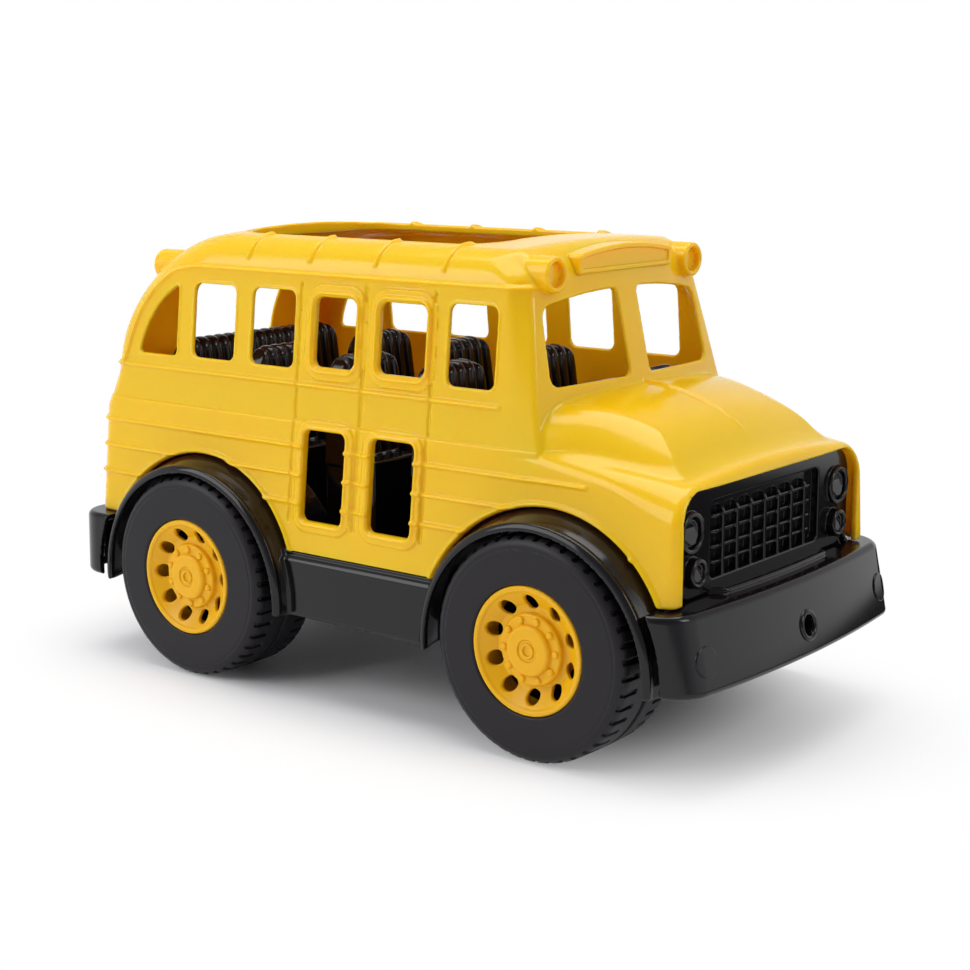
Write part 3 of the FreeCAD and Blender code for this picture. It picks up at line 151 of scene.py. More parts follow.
def step(value: Array, low: float, high: float) -> Array:
    """Give 0 below low, 1 above high and a smooth climb between them."""
    share = np.clip((value - low) / (high - low), 0, 1)
    return share * share * (3 - 2 * share)


def mesh_field(distance: Distance, low: Triple, high: Triple,
               pitch: Triple) -> tuple[Array, Array, Array]:
    """Mesh the surface of a form: one vertex in each cell that it crosses, pulled onto it.

    Args:
        distance: The form's distance.
        low: Lowest corner of the room that holds the form.
        high: Highest corner of that room.
        pitch: Size of a cell along each axis.

    Returns:
        The vertices, the four-sided faces and the normal at each vertex.
    """
    axes = [np.arange(a, b + p, p, dtype=np.float32) for a, b, p in zip(low, high, pitch)]
    shape = tuple(len(axis) for axis in axes)
    along_x, along_y, along_z = axes
    values = distance(along_x[:, None, None], along_y[None, :, None], along_z[None, None, :])
    values = np.broadcast_to(values, shape).astype(np.float32)
    inside = values < 0
    count = np.zeros(tuple(n - 1 for n in shape), np.int8)
    corners = [(i, j, k) for i in (0, 1) for j in (0, 1) for k in (0, 1)]
    for i, j, k in corners:
        count += inside[i:shape[0] - 1 + i, j:shape[1] - 1 + j, k:shape[2] - 1 + k]
    crossed = (count > 0) & (count < 8)
    cells = np.stack(np.nonzero(crossed), axis=1)
    number = np.full(crossed.shape, -1, np.int32)
    number[crossed] = np.arange(len(cells))
    total = np.zeros((len(cells), 3), np.float32)
    hits = np.zeros(len(cells), np.float32)
    for a in corners:
        for axis in range(3):
            if a[axis]:
                continue
            b = tuple(v + (n == axis) for n, v in enumerate(a))
            start = values[tuple((cells + a).T)]
            end = values[tuple((cells + b).T)]
            cut = (start < 0) != (end < 0)
            share = np.where(cut, start / np.where(cut, start - end, 1), 0)
            place = np.array(a, np.float32)[None, :].repeat(len(cells), axis=0)
            place[:, axis] = share
            total += place * cut[:, None]
            hits += cut
    origin = np.array([axis[0] for axis in axes])
    points = (cells + total / hits[:, None]) * np.array(pitch) + origin
    faces = []
    for axis in range(3):
        u, v = (axis + 1) % 3, (axis + 2) % 3
        low_side = [slice(None)] * 3
        high_side = [slice(None)] * 3
        for other in (u, v):
            low_side[other] = high_side[other] = slice(1, -1)
        low_side[axis], high_side[axis] = slice(0, -1), slice(1, None)
        first, second = inside[tuple(low_side)], inside[tuple(high_side)]
        found = np.stack(np.nonzero(first != second), axis=1)
        outward = first[tuple(found.T)]
        base = found.copy()
        ring = []
        for du, dv in ((0, 0), (1, 0), (1, 1), (0, 1)):
            corner = base.copy()
            corner[:, u] += du
            corner[:, v] += dv
            ring.append(number[tuple(corner.T)])
        quads = np.stack(ring, axis=1)
        quads[~outward] = quads[~outward][:, ::-1]
        faces.append(quads)
    limit = max(pitch) * 0.6
    for _ in range(4):
        value, normal = slope(distance, points)
        points = points - normal * np.clip(value, -limit, limit)[:, None]
    _, normal = slope(distance, points)
    length = np.linalg.norm(normal, axis=1, keepdims=True)
    return points, np.concatenate(faces), normal / np.maximum(length, 1e-6)


def slope(distance: Distance, points: Array, reach: float = 0.04) -> tuple[Array, Array]:
    """Give the distance at points, scaled by its steepness, and the direction away from the form.

    Args:
        distance: The form's distance.
        points: The points, one in each row.
        reach: How far to each side the slope is taken.

    Returns:
        The true distance to the surface, nearly, and the unit direction.
    """
    x, y, z = points.T
    value = distance(x, y, z)
    parts = [distance(x + reach, y, z) - distance(x - reach, y, z),
             distance(x, y + reach, z) - distance(x, y - reach, z),
             distance(x, y, z + reach) - distance(x, y, z - reach)]
    gradient = np.stack(parts, axis=1) / (2 * reach)
    steepness = np.maximum(np.linalg.norm(gradient, axis=1), 0.2)
    return value / steepness, gradient / steepness[:, None]


# Finishes

class MouldGrain:
    """The faint orange-peel of moulded plastic, as a node group that every plastic shares."""

    NAME = "mould_grain"

    @classmethod
    def group(cls) -> bpy.types.NodeTree:
        """Build the group once, and give it.

        Returns:
            The group, with the inputs Scale, Low and High and the outputs Height and Roughness.
        """
        if cls.NAME in bpy.data.node_groups:
            return bpy.data.node_groups[cls.NAME]
        group = bpy.data.node_groups.new(cls.NAME, "ShaderNodeTree")
        for name, value in (("Scale", 900.0), ("Low", 0.2), ("High", 0.3)):
            socket = group.interface.new_socket(name, in_out="INPUT", socket_type="NodeSocketFloat")
            socket.default_value = value
        for name in ("Height", "Roughness"):
            group.interface.new_socket(name, in_out="OUTPUT", socket_type="NodeSocketFloat")
        nodes, links = group.nodes, group.links
        given, taken = nodes.new("NodeGroupInput"), nodes.new("NodeGroupOutput")
        place = nodes.new("ShaderNodeTexCoord")
        fine, broad = nodes.new("ShaderNodeTexNoise"), nodes.new("ShaderNodeTexNoise")
        fine.inputs["Detail"].default_value = 2.0
        broad.inputs["Scale"].default_value = 22.0
        broad.inputs["Detail"].default_value = 1.0
        spread = nodes.new("ShaderNodeMapRange")
        links.new(place.outputs["Object"], fine.inputs["Vector"])
        links.new(place.outputs["Object"], broad.inputs["Vector"])
        links.new(given.outputs["Scale"], fine.inputs["Scale"])
        links.new(broad.outputs["Fac"], spread.inputs["Value"])
        links.new(given.outputs["Low"], spread.inputs["To Min"])
        links.new(given.outputs["High"], spread.inputs["To Max"])
        links.new(fine.outputs["Fac"], taken.inputs["Height"])
        links.new(spread.outputs["Result"], taken.inputs["Roughness"])
        return group


@dataclass(frozen=True)
class Plastic:
    """A moulded plastic finish.

    Attributes:
        name: Name of the material.
        slot: The record's slot that it stands for; not used.
        colour: Linear red, green and blue.
        roughness: Lowest and highest roughness over the surface.
        grain: Strength of the moulding grain.
        mirror: Strength of the plain reflection.
        glow: How much light passes into the plastic.
    """

    name: str
    slot: str
    colour: Triple
    roughness: Pair
    grain: float = 0.02
    mirror: float = 0.45
    glow: float = 0.0

    def material(self) -> bpy.types.Material:
        """Make the material, or give it if it is there already.

        Returns:
            The material.
        """
        if self.name in bpy.data.materials:
            return bpy.data.materials[self.name]
        made = bpy.data.materials.new(self.name)
        made.use_nodes = True
        nodes, links = made.node_tree.nodes, made.node_tree.links
        shader = nodes["Principled BSDF"]
        shader.inputs["Base Color"].default_value = (*self.colour, 1.0)
        shader.inputs["Specular IOR Level"].default_value = self.mirror
        shader.inputs["Subsurface Weight"].default_value = self.glow
        shader.inputs["Subsurface Radius"].default_value = (0.8, 0.35, 0.03)
        shader.inputs["Subsurface Scale"].default_value = 0.008
        grain = nodes.new("ShaderNodeGroup")
        grain.node_tree = MouldGrain.group()
        grain.inputs["Scale"].default_value = 420.0
        grain.inputs["Low"].default_value, grain.inputs["High"].default_value = self.roughness
        bump = nodes.new("ShaderNodeBump")
        bump.inputs["Strength"].default_value = self.grain
        bump.inputs["Distance"].default_value = 0.0004
        links.new(grain.outputs["Height"], bump.inputs["Height"])
        links.new(grain.outputs["Roughness"], shader.inputs["Roughness"])
        links.new(bump.outputs["Normal"], shader.inputs["Normal"])
        return made


YELLOW = Plastic("yellow_moulding", "yellow_plastic", (0.92, 0.535, 0.006), (0.14, 0.2), 0.01, 0.36, 0.6)
BLACK = Plastic("black_moulding", "black_plastic", (0.006, 0.005, 0.006), (0.09, 0.13), 0.01, 0.36)
RIM = Plastic("rim_moulding", "rim_plastic", (0.85, 0.45, 0.005), (0.26, 0.34), 0.02, 0.3, 0.2)
TYRE = Plastic("tyre_moulding", "tyre", (0.013, 0.011, 0.0135), (0.36, 0.46), 0.04, 0.26)


@dataclass(frozen=True)
class Steel:
    """Plain drawn steel for the axles and the screws."""

    name: str = "drawn_steel"

    def material(self) -> bpy.types.Material:
        """Make the steel."""
        made = bpy.data.materials.new(self.name)
        made.use_nodes = True
        shader = made.node_tree.nodes["Principled BSDF"]
        shader.inputs["Base Color"].default_value = (0.56, 0.56, 0.57, 1.0)
        shader.inputs["Metallic"].default_value = 1.0
        shader.inputs["Roughness"].default_value = 0.32
        return made


@dataclass
class Moulding:
    """One moulded piece: a distance, the room it lies in and how finely it is meshed.

    Attributes:
        name: Name of the piece.
        finish: Its plastic.
        distance: Its distance in millimetres.
        low: Lowest corner of its room.
        high: Highest corner of its room.
        pitch: Size of a cell along each axis.
    """

    name: str
    finish: Plastic
    distance: Distance
    low: Triple
    high: Triple
    pitch: Triple = (1.0, 1.0, 1.0)
    quick_share: float = 1.5

    def mesh(self) -> bpy.types.Mesh:
        """Mesh the piece in metres.

        Returns:
            The mesh, with its finish.
        """
        coarse = 1.0
        points, faces, normals = mesh_field(self.distance, self.low, self.high,
                                            tuple(p * coarse for p in self.pitch))
        mesh = bpy.data.meshes.new(self.name)
        mesh.vertices.add(len(points))
        mesh.vertices.foreach_set("co", (points * MM).astype(np.float32).ravel())
        mesh.loops.add(faces.size)
        mesh.loops.foreach_set("vertex_index", faces.astype(np.int32).ravel())
        mesh.polygons.add(len(faces))
        mesh.polygons.foreach_set("loop_start", np.arange(0, faces.size, 4, dtype=np.int32))
        mesh.update(calc_edges=True)
        mesh.validate()
        mesh.polygons.foreach_set("use_smooth", np.ones(len(mesh.polygons), bool))
        mesh.normals_split_custom_set_from_vertices(normals.astype(np.float32))
        mesh.materials.append(self.finish.material())
        log.info("%s: %d vertices", self.name, len(points))
        return mesh

    def place(self, body: str, nodes: tuple[str, ...] = (), mesh: bpy.types.Mesh | None = None,
              spot: Triple = (0, 0, 0), turn: float = 0.0,
              name: str | None = None) -> bpy.types.Object:
        """Put the piece in the scene, on the body that carries it.

        Args:
            body: The body that it moves with.
            nodes: The frame's nodes that it stands for.
            mesh: A mesh made before, for a piece that is there more than once.
            spot: Where its own origin goes, in millimetres.
            turn: Turn about the vertical, in degrees.
            name: Name of this copy.

        Returns:
            The object.
        """
        thing = bpy.data.objects.new(name or self.name, mesh or self.mesh())
        bpy.context.scene.collection.objects.link(thing)
        thing.location = Vector(spot) * MM
        thing.rotation_euler = (0, 0, math.radians(turn))
        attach(thing, body)
        if nodes:
            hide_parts(*nodes)
        return thing


# The yellow shell

@dataclass
class BodyShell:
    """The yellow moulding: cabin with windows, open roof, hood and what stands on them."""

    sill_height: float = 70.5
    sill_half_width: float = 85.1
    wall_lean: float = math.radians(6)
    wall_thickness: float = 2.2
    wall_extra: float = 1.3
    wall_extra_span: Pair = (92, 104)
    corner_extra: float = 1.2
    corner_middle: float = -12.0
    corner_span: Pair = (78, 88)
    corner_heights: Pair = (186, 194)
    inner_edge: float = 0.4
    edge_radius: float = 14.5
    roof_crown: float = 218.2
    roof_sag: float = 2.6
    roof_crest: float = 58.0
    screen_foot: Pair = (97.6, 157.3)
    screen_head: Pair = (88.7, 196.4)
    screen_bow: float = 4.6
    screen_half_width: float = 65.0
    screen_lean_above: float = 0.09
    rear_x: float = -188.0
    rear_bow: float = 7.6
    rear_bow_half_width: float = 79.0
    rear_bow_fade: Pair = (126, 156)
    rear_slope: float = 0.35
    rear_edge: float = 2.0
    rear_corner: Pair = (9.0, 5.5)
    rear_corner_span: Pair = (160, 205)
    brow_radius: float = 70.0
    brow_rise: float = 3.6
    brow_half_width: float = 62.0
    brow_rise_span: Pair = (180, 208)
    beads: tuple[float, ...] = (93.7, 107.0, 120.3)
    bead_rise: float = 1.2
    rear_bead_rise: float = 0.9
    belt_height: float = 149.0
    band_bottom: float = 132.0
    bead_ends: Triple = (150.0, 112.0, 124.0)
    band_rise: float = 1.0
    band_fade: Pair = (60, 110)
    pillar_x: float = 75.5
    post_head: float = 199.0
    post_slopes: Pair = (0.115, 0.00138)
    post_turns: tuple[float, float, float, float] = (38.6, 0.7, 0.0029, 6.0)
    post_edge: float = 1.2
    screen_edge: float = 2.0
    corner_growth: Pair = (12.0, 11.0)
    corner_growth_span: Pair = (200, 212)
    drip_height: float = 200.5
    drip_half_width: float = 1.6
    drip_bend_height: float = 20.6
    drip_distance: float = 7.8
    drip_rise: float = 1.3
    windows: tuple[Pair, ...] = ((-116.2, -88.0), (-76.4, -48.5), (44.7, 71.0))
    door_windows: tuple[Pair, ...] = ((-34.6, -9.8), (5.0, 32.0))
    window_span: Pair = (156.0, 192.0)
    door_window_span: Pair = (158.0, 190.3)
    lights: tuple[Pair, ...] = ((-37.0, -11.5), (4.5, 30.0))
    light_span: Pair = (85.8, 128.5)
    seams: tuple[float, ...] = (-45.0, -4.5, 36.0)
    seam_foot: float = 83.0
    hoops: tuple[float, ...] = (-82.0, -41.8, -1.6, 38.6)
    arch_x: float = 104.2
    arch_z: float = 44.0
    arch_radius: float = 65.5
    arch_bead_rise: float = 1.3
    hood_start: float = 96.0
    hood_back: float = 60.0
    shoulder_height: float = 133.4
    shoulder_fall: float = 0.152
    shoulder_crown: float = 5.0
    shoulder_half_width: float = 78.0
    shoulder_radius: float = 7.0
    shoulder_span: Pair = (130, 166)
    nose_x: float = 169.4
    nose_edge: float = 4.5
    dome_height: float = 154.2
    dome_falls: Pair = (0.0029, 0.000032)
    dome_drop: float = 0.9
    dome_drop_span: Pair = (96, 135)
    dome_sag: float = 3.8
    dome_half_width: float = 62.0
    dome_foot: float = 77.2
    dome_taper: float = 0.26
    dome_foot_height: float = 130.0
    dome_lean: Pair = (74, 11)
    dome_lean_span: Pair = (96, 145)
    dome_back: float = 84.0
    dome_bottom: float = 126.0
    dome_bottom_fall: float = 0.08
    dome_edge: Pair = (12.0, 4.0)
    dome_edge_span: Pair = (118, 156)
    dome_fillet: Pair = (1.5, 3.0)
    dome_fillet_span: Pair = (98, 125)
    lip_point: Triple = (159.5, 126.5, 30.0)
    lip_slopes: Triple = (0.857, 0.515, 0.03)
    lip_edge: float = 3.5
    rib_rise: float = 1.3
    rib_half_width: float = 2.2
    rib_spans: tuple[Pair, Pair] = ((96, 100), (146, 152))
    rear_window: Pair = (155.0, 193.0)
    window_arc: Triple = (-103.75, 144.7, 52.0)
    rear_window_sides: Pair = (-35.0, 35.0)
    pane_top: Pair = (196.6, 5.8)
    pane_bottom: float = 157.6
    pane_side: Pair = (63.2, 0.0725)
    screen_post: float = 7.8
    side_cut: float = 60.0
    grille_sides: Pair = (-76.6, 76.6)
    grille_heights: Pair = (40.0, 122.0)
    grille_back: float = 160.7
    end_sills: Pair = (76.0, 73.3)
    lamp_spot: Pair = (55.1, 205.6)
    lamp_radius: float = 8.0
    lamp_span: Pair = (70.0, 90.0)
    lamp_cup: Pair = (5.6, 86.5)
    rear_lamp_height: float = 198.0
    rear_lamp_span: Pair = (-157.5, -140.0)
    roof_gap_span: Pair = (-108.0, 48.0)
    roof_gap_half_width: float = 51.5
    roof_gap_radius: float = 18.0
    roof_lip_bottom: float = 212.5
    hoop_rise: float = 1.4
    opening_edge: float = 1.1
    sign_top: Pair = (216.4, 3.4)
    sign_bottom: float = 204.3
    sign_half_width: float = 37.2
    sign_span: Pair = (78.0, 88.9)
    sign_border: float = 2.3
    sign_depth: float = 1.0

    def wall(self, side: Array, z: Array) -> Array:
        """Give the distance to the plain leaning side wall.

        Args:
            side: Distance from the middle plane.
            z: Height.

        Returns:
            The distance, positive outside.
        """
        wide = self.sill_half_width - (z - self.sill_height) * math.tan(self.wall_lean)
        return (side - wide) * math.cos(self.wall_lean)

    def rear(self, x: Array, side: Array, z: Array, roof: Array) -> Array:
        """Give the distance to the bowed back of the cabin and the round brow up to the roof.

        Args:
            x: Length coordinate.
            side: Distance from the middle plane.
            z: Height.
            roof: Distance to the roof.

        Returns:
            The distance, positive outside.
        """
        arc_x, arc_z = self.window_arc[:2]
        bow = self.rear_bow * (1 - step(z, *self.rear_bow_fade))
        half, brow_half = self.rear_bow_half_width, self.brow_half_width
        bowed = x + bow * (1 - np.square(np.minimum(side, half) / half))
        crown = 1 - np.square(np.minimum(side, brow_half) / brow_half)
        reach = self.brow_radius + self.brow_rise * crown * step(z, *self.brow_rise_span)
        brow = np.hypot(np.minimum(bowed - arc_x, 0), np.maximum(z - arc_z, 0)) - reach
        brow = brow + self.rear_slope * np.minimum(z - arc_z, 0)
        low = rounded_max(self.rear_x + self.rear_bow - bowed, brow, self.rear_edge)
        return np.maximum(np.where(bowed < arc_x, low, roof), roof)

    def screen(self, x: Array, side: Array, z: Array) -> Array:
        """Give the distance to the bowed, raked front of the cabin."""
        (foot_x, foot_z), (head_x, head_z) = self.screen_foot, self.screen_head
        rake = (foot_x - head_x) / (head_z - foot_z)
        front = head_x + rake * np.maximum(head_z - z, 0)
        front = front - self.screen_lean_above * np.maximum(z - head_z, 0)
        front = front - self.screen_bow * np.square(side / self.screen_half_width)
        return (x - front) / math.hypot(1, rake)

    def hood(self, x: Array, side: Array, z: Array, wall: Array, detail: bool) -> tuple[Array, Array]:
        """Give the distances to the hood with its shoulders and to the dome alone.

        Args:
            x: Length coordinate.
            side: Distance from the middle plane.
            z: Height.
            wall: Distance to the side wall.
            detail: Whether the rib along the dome is there.

        Returns:
            The distance to the whole hood and to its dome.
        """
        ahead = x - self.hood_start
        past = np.maximum(ahead, 0)
        shoulder = self.shoulder_height - self.shoulder_fall * ahead
        shoulder = shoulder + self.shoulder_crown * (1 - np.square(side / self.shoulder_half_width))
        radius = self.shoulder_radius + self.shoulder_radius * step(x, *self.shoulder_span)
        low = rounded_max(wall, (z - shoulder) * 0.985, radius)
        low = rounded_max(low, x - self.nose_x, self.nose_edge)
        square_fall, cube_fall = self.dome_falls
        crown = self.dome_height - square_fall * np.square(ahead) - cube_fall * np.power(past, 3)
        crown = crown - self.dome_drop * step(x, *self.dome_drop_span)
        crown = crown - self.dome_sag * np.square(side / self.dome_half_width)
        if detail:
            start, end = self.rib_spans
            rib = swell(side, self.rib_half_width) * step(x, *start) * (1 - step(x, *end))
            crown = crown + self.rib_rise * rib
        foot = self.dome_foot - self.dome_taper * past
        lean = np.radians(self.dome_lean[0] - self.dome_lean[1] * step(x, *self.dome_lean_span))
        flank = (side - foot) * np.sin(lean) + (z - self.dome_foot_height) * np.cos(lean)
        (lip_x, lip_z, lip_side), (along, up, out) = self.lip_point, self.lip_slopes
        lip = (x - lip_x) * along + (z - lip_z) * up + out * (side - lip_side)
        edge = self.dome_edge[0] - self.dome_edge[1] * step(x, *self.dome_edge_span)
        dome = rounded_max(rounded_max(flank, lip, self.lip_edge), (z - crown) * 0.95, edge)
        dome = np.maximum(dome, self.dome_bottom - self.dome_bottom_fall * ahead - z)
        dome = np.maximum(dome, self.dome_back - x)
        fillet = self.dome_fillet[0] + self.dome_fillet[1] * step(x, *self.dome_fillet_span)
        return np.maximum(rounded_min(low, dome, fillet), self.hood_back - x), dome

    def cabin(self, x: Array, side: Array, z: Array, wall: Array, detail: bool) -> Array:
        """Give the distance to the cabin, with its faceted front posts and round rear corners.

        Args:
            x: Length coordinate.
            side: Distance from the middle plane.
            z: Height.
            wall: Distance to the side wall.
            detail: Whether the beads are there.

        Returns:
            The distance.
        """
        roof = z - (self.roof_crown - self.roof_sag * np.square(side / self.roof_crest))
        rear = self.rear(x, side, z, roof)
        screen = self.screen(x, side, z)
        down = np.maximum(self.post_head - z, 0)
        first, fall, bend, least = self.post_turns
        turn = np.radians(np.maximum(first - fall * down + bend * np.square(down), least))
        edge = self.pillar_x + self.post_slopes[0] * down + self.post_slopes[1] * np.square(down)
        post = np.sin(turn) * (x - edge) + np.cos(turn) * wall
        if detail:
            rear = rear - self.rear_bead_rise * self.bead_rows(z)
            drip = swell(z - self.drip_height, self.drip_half_width)
            screen = screen - drip * step(side, 60, 62)
            post = post - drip
        high = step(z, *self.corner_growth_span)
        post_edge = self.post_edge + self.corner_growth[0] * high
        screen_edge = self.screen_edge + self.corner_growth[1] * high
        front = rounded_max(rounded_max(wall, post, post_edge), screen, screen_edge)
        corner = self.rear_corner[0] + self.rear_corner[1] * step(z, *self.rear_corner_span)
        back = rounded_max(wall, rear, corner)
        return np.maximum(rounded_max(front, roof, self.edge_radius), back)

    def bead_rows(self, z: Array) -> Array:
        """Give how much each height belongs to one of the beads."""
        rows = swell(z - self.belt_height, 1.8)
        for height in self.beads:
            rows = rows + swell(z - height, 1.7)
        return rows

    def window_distance(self, x: Array, z: Array, right: bool) -> tuple[Array, Array]:
        """Give the distances in the wall's plane to the plain windows and to the door windows.

        Args:
            x: Length coordinate.
            z: Height.
            right: Whether this is the side with the doors.

        Returns:
            The distance to the nearest plain window and to the nearest door window.
        """
        arc_x, arc_z, arc_radius = self.window_arc
        plain = rounded_max(np.hypot(x - arc_x, z - arc_z) - arc_radius, x + 127.8, 2.5)
        plain = rounded_max(plain, self.window_span[0] - 0.5 - z, 3.0)
        for span in self.windows:
            plain = np.minimum(plain, rectangle(x, z, span, self.window_span, 4.0))
        doors = np.full_like(plain, 1e3)
        rows = self.door_window_span if right else self.window_span
        for span in self.door_windows:
            doors = np.minimum(doors, rectangle(x, z, span, rows, 4.0))
        return plain, doors

    def light_distance(self, x: Array, z: Array) -> Array:
        """Give the distance in the wall's plane to the lower openings of the doors."""
        near = [rectangle(x, z, span, self.light_span, 3.5) for span in self.lights]
        return np.minimum(*near)

    def relief(self, x: Array, z: Array, right: bool) -> Array:
        """Give how far the wall's beads, frames and steps stand out from the plain wall.

        Args:
            x: Length coordinate.
            z: Height.
            right: Whether this is the side with the doors.

        Returns:
            The height of the relief.
        """
        plain, doors = self.window_distance(x, z, right)
        ahead = 1 - step(x, self.pillar_x - 1.5, self.pillar_x + 0.5)
        lower = 1 - step(z, self.band_bottom - 0.5, self.band_bottom + 0.5)
        rise = self.band_rise * lower * (1 - step(x, *self.band_fade))
        rise = rise + self.bead_rise * swell(z - self.belt_height, 1.6) * ahead
        for height, end in zip(self.beads, self.bead_ends):
            rise = rise + self.bead_rise * swell(z - height, 1.5) * (1 - step(x, end - 2, end))
        arc_x, arc_z, arc_radius = self.window_arc
        above = z - arc_z
        arc = np.hypot(np.minimum(x - arc_x, 0), above) - arc_radius - self.drip_distance
        straight = 0.344 * (above - self.drip_bend_height) - 0.939 * (x - arc_x + 56.2)
        rim = rounded_max(np.where(above > self.drip_bend_height, arc, straight), z - self.drip_height, 5.0)
        belt = step(z, self.belt_height - 1, self.belt_height + 1)
        rise = rise + self.drip_rise * swell(rim, 1.7) * belt
        rise = rise + 0.4 * (1 - step(plain, 0.8, 1.8))
        arch = np.hypot(np.abs(x) - self.arch_x, z - self.arch_z)
        rise = rise + self.arch_bead_rise * swell(arch - self.arch_radius - 1.2, 1.9)
        if right:
            rise = rise + 1.0 * (1 - step(doors, 5.6, 6.4)) + 1.1 * swell(doors - 2.0, 1.4)
            lights = self.light_distance(x, z)
            rise = rise + 0.9 * (1 - step(lights, 4.4, 5.4)) + 0.7 * swell(lights - 1.4, 1.4)
            tall = step(z, self.seam_foot, self.seam_foot + 2) * (1 - step(z, 196, 198))
            for seam in self.seams:
                rise = rise - 0.9 * swell(x - seam, 1.5) * tall
        else:
            rise = rise + 0.4 * (1 - step(doors, 0.8, 1.8))
        return rise

    def form(self, x: Array, y: Array, z: Array, detail: bool) -> Array:
        """Give the distance to the whole outer form, without any opening.

        Args:
            x: Length coordinate.
            y: Width coordinate.
            z: Height.
            detail: Whether the relief on the surface is there.

        Returns:
            The distance.
        """
        side = np.abs(y)
        wall = self.wall(side, z)
        if detail:
            wall = wall - np.where(y < 0, self.relief(x, z, True), self.relief(x, z, False))
        hood, dome = self.hood(x, side, z, wall, detail)
        whole = np.minimum(rounded_min(self.cabin(x, side, z, wall, detail), dome, 2.0), hood)
        if detail:
            for hoop in self.hoops:
                whole = whole - self.hoop_rise * swell(x - hoop, 1.8) * step(z, 204.5, 206.5)
        return whole

    def roof_gap(self, x: Array, y: Array) -> Array:
        """Give the distance in plan to the opening of the roof."""
        half = self.roof_gap_half_width
        return rectangle(x, y, self.roof_gap_span, (-half, half), self.roof_gap_radius)

    def openings(self, x: Array, y: Array, z: Array) -> Array:
        """Give the distance to everything that is cut out of the shell."""
        side = np.abs(y)
        plain, doors = self.window_distance(x, z, False)
        right_doors = self.window_distance(x, z, True)[1]
        doors = np.where(y < 0, right_doors, doors)
        height, sag = self.pane_top
        top = z - (height - sag * np.square((side - 6) / 58.0))
        width, fall = self.pane_side
        outer = side - (width - fall * (z - 157.7))
        pane = rounded_max(rounded_max(top, self.pane_bottom - z, 3.5), outer, 5.0)
        pane = rounded_max(pane, self.screen_post - side, 3.5)
        rear = rectangle(y, z, self.rear_window_sides, self.rear_window, 4.0)
        grille = rectangle(y, z, self.grille_sides, self.grille_heights, 13.5)
        sill_front, sill_rear = self.end_sills
        return union(
            np.maximum(np.minimum(plain, doors), self.side_cut - side),
            np.maximum(self.light_distance(x, z), y + self.side_cut),
            np.maximum(pane, self.pillar_x - 6 - x),
            np.maximum(rear, x + 120.0),
            np.maximum(self.roof_gap(x, y), 200.0 - z),
            np.maximum(grille, self.grille_back - x),
            np.hypot(np.abs(x) - self.arch_x, z - self.arch_z) - self.arch_radius,
            np.maximum(z - sill_front, 150.0 - x),
            np.maximum(z - sill_rear, x + 150.0),
        )

    def lamps(self, x: Array, y: Array, z: Array) -> Array:
        """Give the distance to the four lamps of the roof."""
        spot_y, spot_z = self.lamp_spot
        around = np.hypot(np.abs(y) - spot_y, z - spot_z)
        front = rounded_max(around - self.lamp_radius, slab(x, *self.lamp_span), 1.2)
        around = np.hypot(np.abs(y) - spot_y, z - self.rear_lamp_height)
        rear = rounded_max(around - self.lamp_radius, slab(x, *self.rear_lamp_span), 2.5)
        return np.minimum(front, rear)

    def sign(self, x: Array, y: Array, z: Array) -> Array:
        """Give the distance to the bare sign board above the windscreen."""
        side = np.abs(y)
        height, sag = self.sign_top
        top = z - (height - sag * np.square(side / 37.0))
        board = rounded_max(np.maximum(top, self.sign_bottom - z), side - self.sign_half_width, 1.6)
        board = rounded_max(board, slab(x, *self.sign_span), 0.9)
        inset = self.sign_border
        room = np.maximum(top + inset, self.sign_bottom + inset - z)
        room = rounded_max(room, side - (self.sign_half_width - 2.4), 1.0)
        return rounded_max(board, -np.maximum(room, self.sign_span[1] - self.sign_depth - x), 0.4)

    def distance(self, x: Array, y: Array, z: Array) -> Array:
        """Give the distance to the finished shell."""
        plain = self.form(x, y, z, False)
        shell = rounded_min(self.form(x, y, z, True), self.lamps(x, y, z), 1.2)
        inside = plain + self.wall_thickness + self.wall_extra * step(x, *self.wall_extra_span)
        corners = step(np.abs(x - self.corner_middle), *self.corner_span) * step(z, *self.corner_heights)
        shell = rounded_max(shell, -(inside + self.corner_extra * corners), self.inner_edge)
        gap = self.roof_gap(x, y)
        lip = common(slab(gap, -1.0, 2.0), self.roof_lip_bottom - z, plain)
        shell = rounded_min(shell, lip, 0.8)
        spot_y, spot_z = self.lamp_spot
        radius, floor = self.lamp_cup
        cup = np.maximum(np.hypot(np.abs(y) - spot_y, z - spot_z) - radius, floor - x)
        shell = rounded_max(shell, -np.minimum(self.openings(x, y, z), cup), self.opening_edge)
        return np.maximum(shell, self.sill_height - z)

    def build(self) -> None:
        """Build the shell and put it on the bus."""
        low, high = (-190.0, -88.0, 69.0), (172.0, 88.0, 221.0)
        piece = Moulding("body_shell_moulded", YELLOW, self.distance, low, high, (1.0, 1.3, 0.8), 1.0)
        piece.place(ROOT_BODY, ("body_shell",))
        low, high = (77.0, -38.5, 203.0), (90.0, 38.5, 218.0)
        board = Moulding("sign_board", YELLOW, self.sign, low, high, (0.4, 0.6, 0.4), 1.0)
        board.place(ROOT_BODY)


# The black lower part

